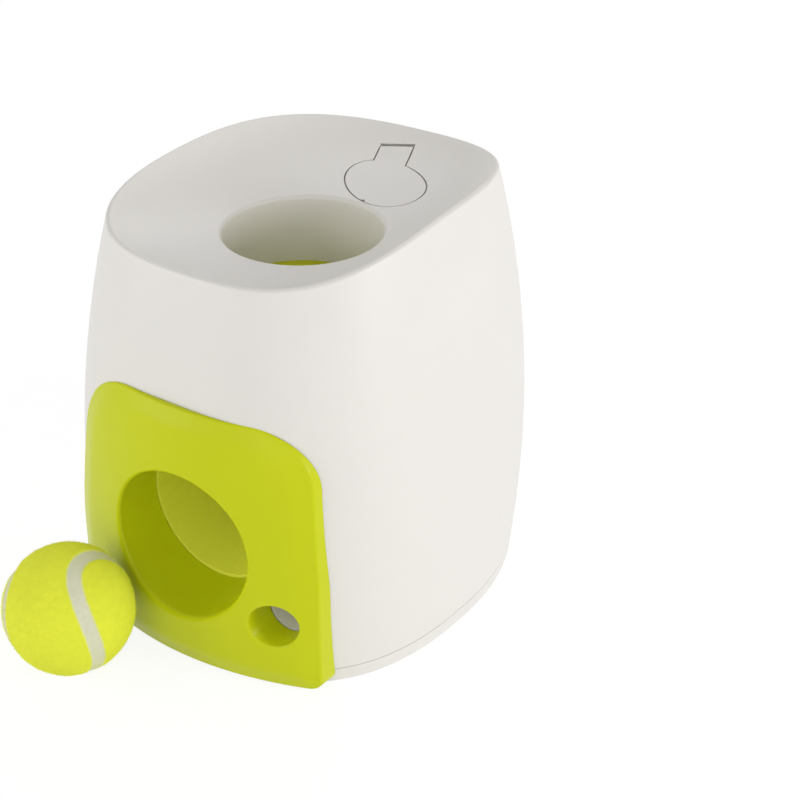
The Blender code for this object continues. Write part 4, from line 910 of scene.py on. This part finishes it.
class MACHINE_OT_housing(bpy.types.Operator):
    """Housing with its dish, collar, lid recess and front openings"""
    bl_idname = "machine.housing"
    bl_label = "Housing"

    def execute(self, context):
        s, panel, lid = context.scene.machine_body, context.scene.machine_panel, context.scene.machine_lid
        form = Form(s)
        angles = even_angles(s.sides)
        crests = [form.rim(a)[0] for a in angles]
        rings = []
        for part in spread(0, 1, WALL_ROWS):
            rings.append([
                form.wall(a, s.bottom + part * (z - s.rim_round - s.bottom)) for a, z in zip(angles, crests)
            ])
        for rise, inset in quarter(ROUNDING_ROWS["rim"]):
            rings.append([
                form.at(a, form.reach(a, z - s.rim_round, s.rim_round * inset), z - s.rim_round * (1 - rise))
                for a, z in zip(angles, crests)
            ])
        for part in spread(DISH_START, 0, DISH_ROWS):
            rings.append([form.dish(a, part) for a in angles])
        for inset, drop in quarter(ROUNDING_ROWS["inlet"]):
            radius = form.lip_radius - s.inlet_lip * inset
            rings.append([form.at(a, radius, form.lip(a) - s.inlet_lip * drop) for a in angles])
        for z in spread(s.inlet_height - COLLAR_DROP, s.collar_bottom, COLLAR_ROWS):
            rings.append([form.at(a, s.inlet_radius, z) for a in angles])
        rings.append([form.at(a, form.lip_radius, s.collar_bottom) for a in angles])
        rings.append([form.at(a, form.lip_radius, form.lip(a) - s.wall) for a in angles])
        for part in spread(*UNDERSIDE, UNDERSIDE_ROWS):
            rings.append([form.dish(a, part) - Vector((0, 0, s.wall)) for a in angles])
        for part in spread(INNER_WALL_TOP, 0, INNER_WALL_ROWS):
            rings.append([
                form.wall(a, s.bottom + part * (z - s.rim_round - s.bottom), s.wall)
                for a, z in zip(angles, crests)
            ])
        skin = Skin()
        skin.strips(rings, closed=True)
        shell = skin.piece("housing_shell")
        combine(shell, self.openings(form, Front(form, panel), lid))
        soften(shell, 32)
        dress(shell, "white_plastic", "housing", "body_shell")
        self.tray(form)
        return {"FINISHED"}

    def openings(self, form, front, lid):
        """Tools for the two tunnels and the lid's recess."""
        tools = []
        for end, radius, _, _ in front.tunnels():
            wide = radius + front.s.wall + TOOL_GAP
            tools.append(solid("tunnel_tool", [
                front.ring(end, wide, lambda x, z: TOOL_FRONT, TOOL_SIDES),
                front.ring(end, wide, lambda x, z: end.y + TOOL_PAST_TUNNEL, TOOL_SIDES),
            ]))
        plan = Lid(form, lid)
        mouth = circle(lid.oval_x, lid.oval_y, lid.half_length - lid.ledge, MOUTH_SIDES)
        for name, outline, top, bottom in (
            ("recess", plan.outline(lid.gap), TOOL_RISE, -lid.lip - TOOL_OVERLAP),
            ("undercut", plan.outline(lid.gap + lid.undercut), -lid.lip, -lid.thickness - TOOL_GAP),
            ("mouth", mouth, TOOL_RISE, -TOOL_RISE),
        ):
            tools.append(plan.sheet(name, outline, top, bottom))
        tools.append(plan.roll("cradle", lid.knuckle + lid.tab_gap, lid.tab_width / 2 + lid.gap))
        return tools

    def tray(self, form):
        """Floor tray below the housing."""
        s = form.s
        edge, top = s.tray_edge, s.tray_top
        steps = [(0, edge * 6), (0, edge)]
        steps += [(edge * (1 - math.cos(t)), edge * (1 - math.sin(t))) for t in spread(0.3, 1.57, 4)]
        steps += [(z, 0) for z in spread(edge * 1.5, top - edge, 3)]
        steps += [(top - edge * 0.3, edge * 0.15), (top, edge)]
        front, back = s.wall + LIP_FRONT, s.wall + LIP_BACK
        steps += [(top, front), (LIP_TOP, front), (LIP_TOP, back), (TRAY_FLOOR, back)]
        rings = [[form.wall(a, z, inset) for a in even_angles(s.sides)] for z, inset in steps]
        tray = solid("floor_tray", rings, 30)
        tools = []
        for x in SCREWS_X:
            for y in SCREWS_Y:
                foot_x = x - math.copysign(FOOT_SHIFT, x)
                tools.append(disc_tool(x, y, SCREW_RADIUS, (BELOW_FLOOR, SCREW_DEPTH), SCREW_SIDES))
                tools.append(disc_tool(foot_x, y, FOOT_RADIUS, (BELOW_FLOOR, FOOT_DEPTH), FOOT_SIDES))
        combine(tray, tools)
        soften(tray, 30)
        dress(tray, "white_plastic", "housing", "base_tray")


class Lid:
    """The treat lid's plan, surface and hinge."""

    def __init__(self, form, sizes):
        self.form = form
        self.s = sizes
        turn = sizes.tab_angle
        self.back = Vector((-math.sin(turn), math.cos(turn)))
        self.side = Vector((math.cos(turn), math.sin(turn)))
        self.hinge_reach = sizes.tab_reach - sizes.knuckle

    def plan(self, side, forward):
        return Vector((self.s.x, self.s.y)) + self.side * side + self.back * forward

    def oval(self, angle, margin=0.0):
        """Place on the oval, grown by a margin."""
        wide = (self.s.half_width + margin) * math.cos(angle)
        long = (self.s.half_length + margin) * math.sin(angle)
        turn = self.s.oval_angle
        return Vector((
            self.s.oval_x + wide * math.cos(turn) - long * math.sin(turn),
            self.s.oval_y + wide * math.sin(turn) + long * math.cos(turn),
        ))

    def on_tab(self, spot):
        """Place of a plan point across and along the tab."""
        away = spot - Vector((self.s.x, self.s.y))
        return away.dot(self.side), away.dot(self.back)

    def outline(self, margin):
        """Oval plan with its tab, grown by a margin."""
        half = self.s.tab_width / 2 + margin
        low, high = self.s.tab_shift - half, self.s.tab_shift + half
        ring = [self.oval(angle, margin) for angle in even_angles(OVAL_SIDES)]
        hidden = []
        for point in ring:
            across, along = self.on_tab(point)
            hidden.append(low < across < high and along > 0)
        first = next(i for i in range(len(ring)) if hidden[i - 1] and not hidden[i])
        arc = [ring[i] for i in (*range(first, len(ring)), *range(first)) if not hidden[i]]
        left, right = self.on_tab(arc[0])[1], self.on_tab(arc[-1])[1]
        points = [self.plan(high, y) for y in spread(right, self.hinge_reach, TAB_SIDE_POINTS)]
        points += [self.plan(x, self.hinge_reach) for x in spread(high, low, TAB_END_POINTS)[1:-1]]
        points += [self.plan(low, y) for y in spread(self.hinge_reach, left, TAB_SIDE_POINTS)]
        return [tuple(p) for p in points + arc]

    def sheet(self, name, outline, top, bottom):
        """Solid between two offsets from the dish."""
        skin = Skin()
        upper, triangles = fill([outline], LID_GRID)
        height = self.form.dish_height
        high = skin.add([(p.x, p.y, height(p.x, p.y) + top) for p in upper])
        low = skin.add([(p.x, p.y, height(p.x, p.y) + bottom) for p in upper])
        skin.faces += [tuple(high[i] for i in t) for t in triangles]
        skin.faces += [tuple(low[i] for i in reversed(t)) for t in triangles]
        count = len(outline)
        skin.strip(high[:count], low[:count])
        return skin.piece(name)

    def frame(self):
        """Hinge frame: X along the pin, Z out of the dish."""
        height = self.form.dish_height
        middle = self.plan(0, self.hinge_reach)
        half = self.s.tab_width / 2
        left, right = self.plan(-half, self.hinge_reach), self.plan(half, self.hinge_reach)
        across = (Vector((*right, height(*right))) - Vector((*left, height(*left)))).normalized()
        slope_x, slope_y = slopes(height, middle.x, middle.y)
        normal = Vector((-slope_x, -slope_y, 1)).normalized()
        back = normal.cross(across).normalized()
        normal = across.cross(back)
        centre = Vector((*middle, height(*middle))) - normal * self.s.knuckle
        turn = Matrix((across, back, normal)).transposed().to_4x4()
        return Matrix.Translation(centre) @ turn

    def roll(self, name, radius, half):
        """Cylinder along the hinge."""
        frame_at = self.frame()
        flat = circle(0, 0, radius, ROLL_SIDES)
        ends = (self.s.tab_shift - half, self.s.tab_shift + half)
        return solid(name, [[frame_at @ Vector((x, *p)) for p in flat] for x in ends])


class MACHINE_OT_lid(bpy.types.Operator):
    """Treat lid with its tab and finger notch, flush in the dish"""
    bl_idname = "machine.lid"
    bl_label = "Treat lid"

    def execute(self, context):
        sizes = context.scene.machine_lid
        plan = Lid(Form(context.scene.machine_body), sizes)
        lid = plan.sheet("treat_lid_moulding", plan.outline(0), 0, -sizes.lip)
        tip = plan.oval(sizes.notch_angle)
        combine(lid, [disc_tool(tip.x, tip.y, sizes.notch, NOTCH_HEIGHTS, NOTCH_SIDES)])
        core = plan.sheet("core", plan.outline(-sizes.undercut), -sizes.lip / 2, -sizes.thickness)
        knuckle = plan.roll("knuckle", sizes.knuckle, sizes.tab_width / 2)
        combine(lid, [core, knuckle], "UNION")
        soften(lid, 32)
        dress(lid, "white_plastic", "lid", "treat_lid")
        return {"FINISHED"}


class MACHINE_OT_panel(bpy.types.Operator):
    """Front panel with the ball tunnel and the treat tunnel"""
    bl_idname = "machine.panel"
    bl_label = "Front panel"

    def execute(self, context):
        s = context.scene.machine_panel
        form = Form(context.scene.machine_body)
        front = Front(form, s)
        skin = Skin()
        rings = [[form.proud_of_front(x, z, s.gap) for x, z in front.outline(0)]]
        rings.append([(x, front.edge(x, z) + s.fillet, z) for x, z in front.outline(0)])
        for rise, inset in quarter(ROUNDING_ROWS["panel"]):
            back = s.fillet * (1 - rise)
            rings.append([(x, front.edge(x, z) + back, z) for x, z in front.outline(s.fillet * inset)])
        numbers = skin.strips(rings)
        holes = []
        for end, radius, lip, sides in front.tunnels():
            tunnel = [front.ring(end, radius + lip, front.face, sides)]
            for inset, drop in quarter(ROUNDING_ROWS["tunnel"]):
                tunnel.append(front.ring(
                    end, radius + lip * (1 - inset), lambda x, z: front.face(x, z) + lip * drop, sides
                ))
            for reach, depth_at in (
                (radius, lambda x, z: end.y - TUNNEL_EDGE),
                (radius + TUNNEL_EDGE, lambda x, z: end.y),
                (radius + s.wall, lambda x, z: end.y),
                (radius + s.wall, lambda x, z: form.front(x, z) - s.gap),
            ):
                tunnel.append(front.ring(end, reach, depth_at, sides))
            holes.append(skin.strips(tunnel))
        mouths = [hole[0] for hole in holes]
        self.cover(skin, [numbers[-1]] + mouths, s.grid, lambda x, z: (x, front.face(x, z), z))
        ends = [hole[-1] for hole in holes]
        self.cover(skin, [numbers[0]] + ends, PANEL_BACK_GRID, lambda x, z: form.proud_of_front(x, z, s.gap))
        panel = skin.piece("front_panel_moulding", 35)
        dress(panel, "lime_plastic", "housing", "front_panel")
        return {"FINISHED"}

    def cover(self, skin, loops, spacing, place):
        """Triangles between loops of the skin's points, with a place for each new point."""
        known = [number for loop in loops for number in loop]
        flat = [[(skin.points[n][0], skin.points[n][2]) for n in loop] for loop in loops]
        spots, triangles = fill(flat, spacing)
        known += skin.add([place(p.x, p.y) for p in spots[len(known):]])
        skin.faces += [tuple(known[i] for i in t) for t in triangles]


class MACHINE_OT_ball(bpy.types.Operator):
    """Felt ball with its seam and loose fibres"""
    bl_idname = "machine.ball"
    bl_label = "Ball"

    def execute(self, context):
        s = context.scene.machine_ball
        centre, turn = ball_frame(s)
        skin = Skin()
        rings = []
        for row in range(1, BALL_ROWS):
            lean = math.pi * row / BALL_ROWS
            ways = [Vector((*p, math.cos(lean))) for p in circle(0, 0, math.sin(lean), BALL_SIDES)]
            rings.append([centre + turn @ way * self.reach(way, s) for way in ways])
        numbers = skin.strips(rings)
        for way, ring in ((Vector((0, 0, 1)), numbers[0]), (Vector((0, 0, -1)), numbers[-1])):
            pole = skin.add([centre + turn @ way * self.reach(way, s)])[0]
            skin.faces += [(pole, ring[i - 1], ring[i]) for i in (*range(1, len(ring)), 0)]
        ball = skin.piece("felt_ball", 180)
        self.fibres(ball, s)
        dress(ball, "felt", "ball", "tennis_ball")
        return {"FINISHED"}

    def reach(self, way, s):
        """Distance from the ball's middle to its skin in one direction."""
        half = s.seam_width / s.diameter
        apart = abs(seam_distance(way, s.seam_bend))
        inner = min(max((half * SEAM_OUTSIDE - apart) / (half * SEAM_SLOPE), 0), 1)
        dip = s.seam_depth * inner * inner * (3 - 2 * inner)
        nap = sum(noise.noise(way * scale) * depth for scale, depth in NAP)
        return s.diameter / 2 - s.fibre * FELT_COVER - dip + nap * (1 - inner)

    def fibres(self, ball, s):
        """Short loose fibres over the felt, made by nodes and kept as a plain mesh."""
        tree = bpy.data.node_groups.new("felt_fibres", "GeometryNodeTree")
        face = tree.interface
        face.new_socket("Geometry", in_out="INPUT", socket_type="NodeSocketGeometry")
        count = face.new_socket("Fibres", in_out="INPUT", socket_type="NodeSocketInt")
        size = face.new_socket("Length", in_out="INPUT", socket_type="NodeSocketFloat")
        face.new_socket("Geometry", in_out="OUTPUT", socket_type="NodeSocketGeometry")
        net = Net(tree)
        felt = net.node("NodeGroupInput", output="Geometry")
        points = net.node("GeometryNodeDistributePointsOnFaces", {
            "Mesh": felt, "Density": felt.sibling("Fibres") / (math.pi * s.diameter ** 2), "Seed": 4,
        }, output="Points")
        cone = net.node("GeometryNodeMeshCone", {
            "Vertices": 3, "Radius Top": 0.00001, "Radius Bottom": 0.00006, "Depth": felt.sibling("Length"),
        }, output="Mesh")
        tilt = net.node("FunctionNodeRandomValue", {
            0: (-1.0, -1.0, 0), 1: (1.0, 1.0, 6.28), "Seed": 7,
        }, data_type="FLOAT_VECTOR")
        lean = net.node("FunctionNodeRotateRotation", {
            0: points.sibling("Rotation"), 1: tilt,
        }, rotation_space="LOCAL")
        placed = net.node("GeometryNodeInstanceOnPoints", {
            "Points": points, "Instance": cone, "Rotation": lean,
        })
        fibres = net.node("GeometryNodeRealizeInstances", {0: placed})
        both = net.node("GeometryNodeJoinGeometry", {0: [fibres, felt]})
        paint = net.node("GeometryNodeSetMaterial", {"Geometry": both, "Material": finish_for("felt")})
        net.feed(tree.nodes.new("NodeGroupOutput").inputs[0], paint)
        step = ball.modifiers.new("felt_fibres", "NODES")
        step.node_group = tree
        step[count.identifier] = s.fibres
        step[size.identifier] = s.fibre
        settle(ball, step)


class MACHINE_OT_inner_parts(bpy.types.Operator):
    """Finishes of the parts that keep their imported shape"""
    bl_idname = "machine.inner_parts"
    bl_label = "Inner parts"

    def execute(self, context):
        slots = {part["node"]: part["material_slot"] for part in frame["record"]["subparts"]}
        replaced = {"body_shell", "base_tray", "front_panel", "treat_lid", "tennis_ball"}
        for name, obj in frame["nodes"].items():
            if name in replaced:
                continue
            # The ball duct gets the painted-light lime instead of its slot's own finish
            material = finish_for("duct" if name == "ball_duct" else slots[name])
            if not obj.material_slots:
                obj.data.materials.append(material)
            for entry in obj.material_slots:
                entry.link = "OBJECT"
                entry.material = material
        return {"FINISHED"}


class MACHINE_OT_studio(bpy.types.Operator):
    """Floor, backdrop light, lamps and camera"""
    bl_idname = "machine.studio"
    bl_label = "Studio"

    def execute(self, context):
        scene = context.scene
        scene.view_settings.view_transform = "Standard"
        skin = Skin()
        reach = FLOOR_REACH
        numbers = skin.add([(-reach, -reach, 0), (reach, -reach, 0), (reach, reach, 0), (-reach, reach, 0)])
        skin.faces.append(tuple(numbers))
        floor = skin.piece("studio_floor")
        floor.data.materials.append(studio_floor("studio_floor", tuple(scene.machine_colours.floor)))
        self.sky(scene)
        for name, (place, size, power) in LAMPS.items():
            self.lamp(name, place, size, power)
        self.camera(scene)
        return {"FINISHED"}

    def sky(self, scene):
        """White where the camera sees it; its light falls off from the horizon to the zenith."""
        world = bpy.data.worlds.new("studio_world")
        world.use_nodes = True
        scene.world = world
        net = Net(world.node_tree)
        rays = net.node("ShaderNodeLightPath", output="Is Camera Ray")
        seen = rays.sum("MAXIMUM", rays.sibling("Is Transmission Ray"))
        way = net.node("ShaderNodeTexCoord", output="Generated")
        height = net.node("ShaderNodeSeparateXYZ", {0: way}, output="Z")
        dome = net.node("ShaderNodeMapRange", {"Value": height, "To Min": DOME[0], "To Max": DOME[1]})
        level = net.node("ShaderNodeMix", {"Factor": seen, "A": dome, "B": 1.0})
        back = net.tree.nodes["Background"]
        net.feed(back.inputs["Color"], WHITE)
        net.feed(back.inputs["Strength"], level)

    def lamp(self, name, place, size, power):
        data = bpy.data.lights.new(name, "AREA")
        data.shape = "DISK"
        data.size = size
        data.energy = power
        obj = bpy.data.objects.new(name, data)
        obj.location = place
        aim = Vector(LAMP_AIM) - Vector(place)
        obj.rotation_euler = aim.to_track_quat("-Z", "Y").to_euler()
        bpy.context.scene.collection.objects.link(obj)

    def camera(self, scene):
        data = bpy.data.cameras.new("camera")
        for key, value in CAMERA.items():
            setattr(data, key, value)
        obj = bpy.data.objects.new("camera", data)
        right = Vector(CAMERA_RIGHT).normalized()
        back = Vector(CAMERA_BACK).normalized()
        up = back.cross(right).normalized()
        turn = Matrix((right, up, back)).transposed().to_4x4()
        obj.matrix_world = Matrix.Translation(CAMERA_PLACE) @ turn
        scene.collection.objects.link(obj)
        scene.camera = obj


OPERATORS = (
    MACHINE_OT_studio, MACHINE_OT_housing, MACHINE_OT_lid,
    MACHINE_OT_panel, MACHINE_OT_ball, MACHINE_OT_inner_parts,
)


class MACHINE_PT_sidebar(bpy.types.Panel):
    """Lists the machine's sizes and pieces"""
    bl_label = "Dog ball machine"
    bl_idname = "MACHINE_PT_sidebar"
    bl_space_type = "VIEW_3D"
    bl_region_type = "UI"
    bl_category = "Machine"

    def draw(self, context):
        for group, kind in GROUPS.items():
            box = self.layout.box()
            for name in kind.__annotations__:
                box.prop(getattr(context.scene, group), name)
        for operator in OPERATORS:
            self.layout.operator(operator.bl_idname)


def register():
    for kind in (*GROUPS.values(), *OPERATORS, MACHINE_PT_sidebar):
        bpy.utils.register_class(kind)
    for name, kind in GROUPS.items():
        setattr(bpy.types.Scene, name, PointerProperty(type=kind))


def unregister():
    for name in GROUPS:
        delattr(bpy.types.Scene, name)
    for kind in reversed((*GROUPS.values(), *OPERATORS, MACHINE_PT_sidebar)):
        bpy.utils.unregister_class(kind)


def main():
    register()
    bpy.ops.machine.studio()
    bpy.ops.machine.housing()
    bpy.ops.machine.lid()
    bpy.ops.machine.panel()
    bpy.ops.machine.ball()
    bpy.ops.machine.inner_parts()


if __name__ == "__main__":
    main()
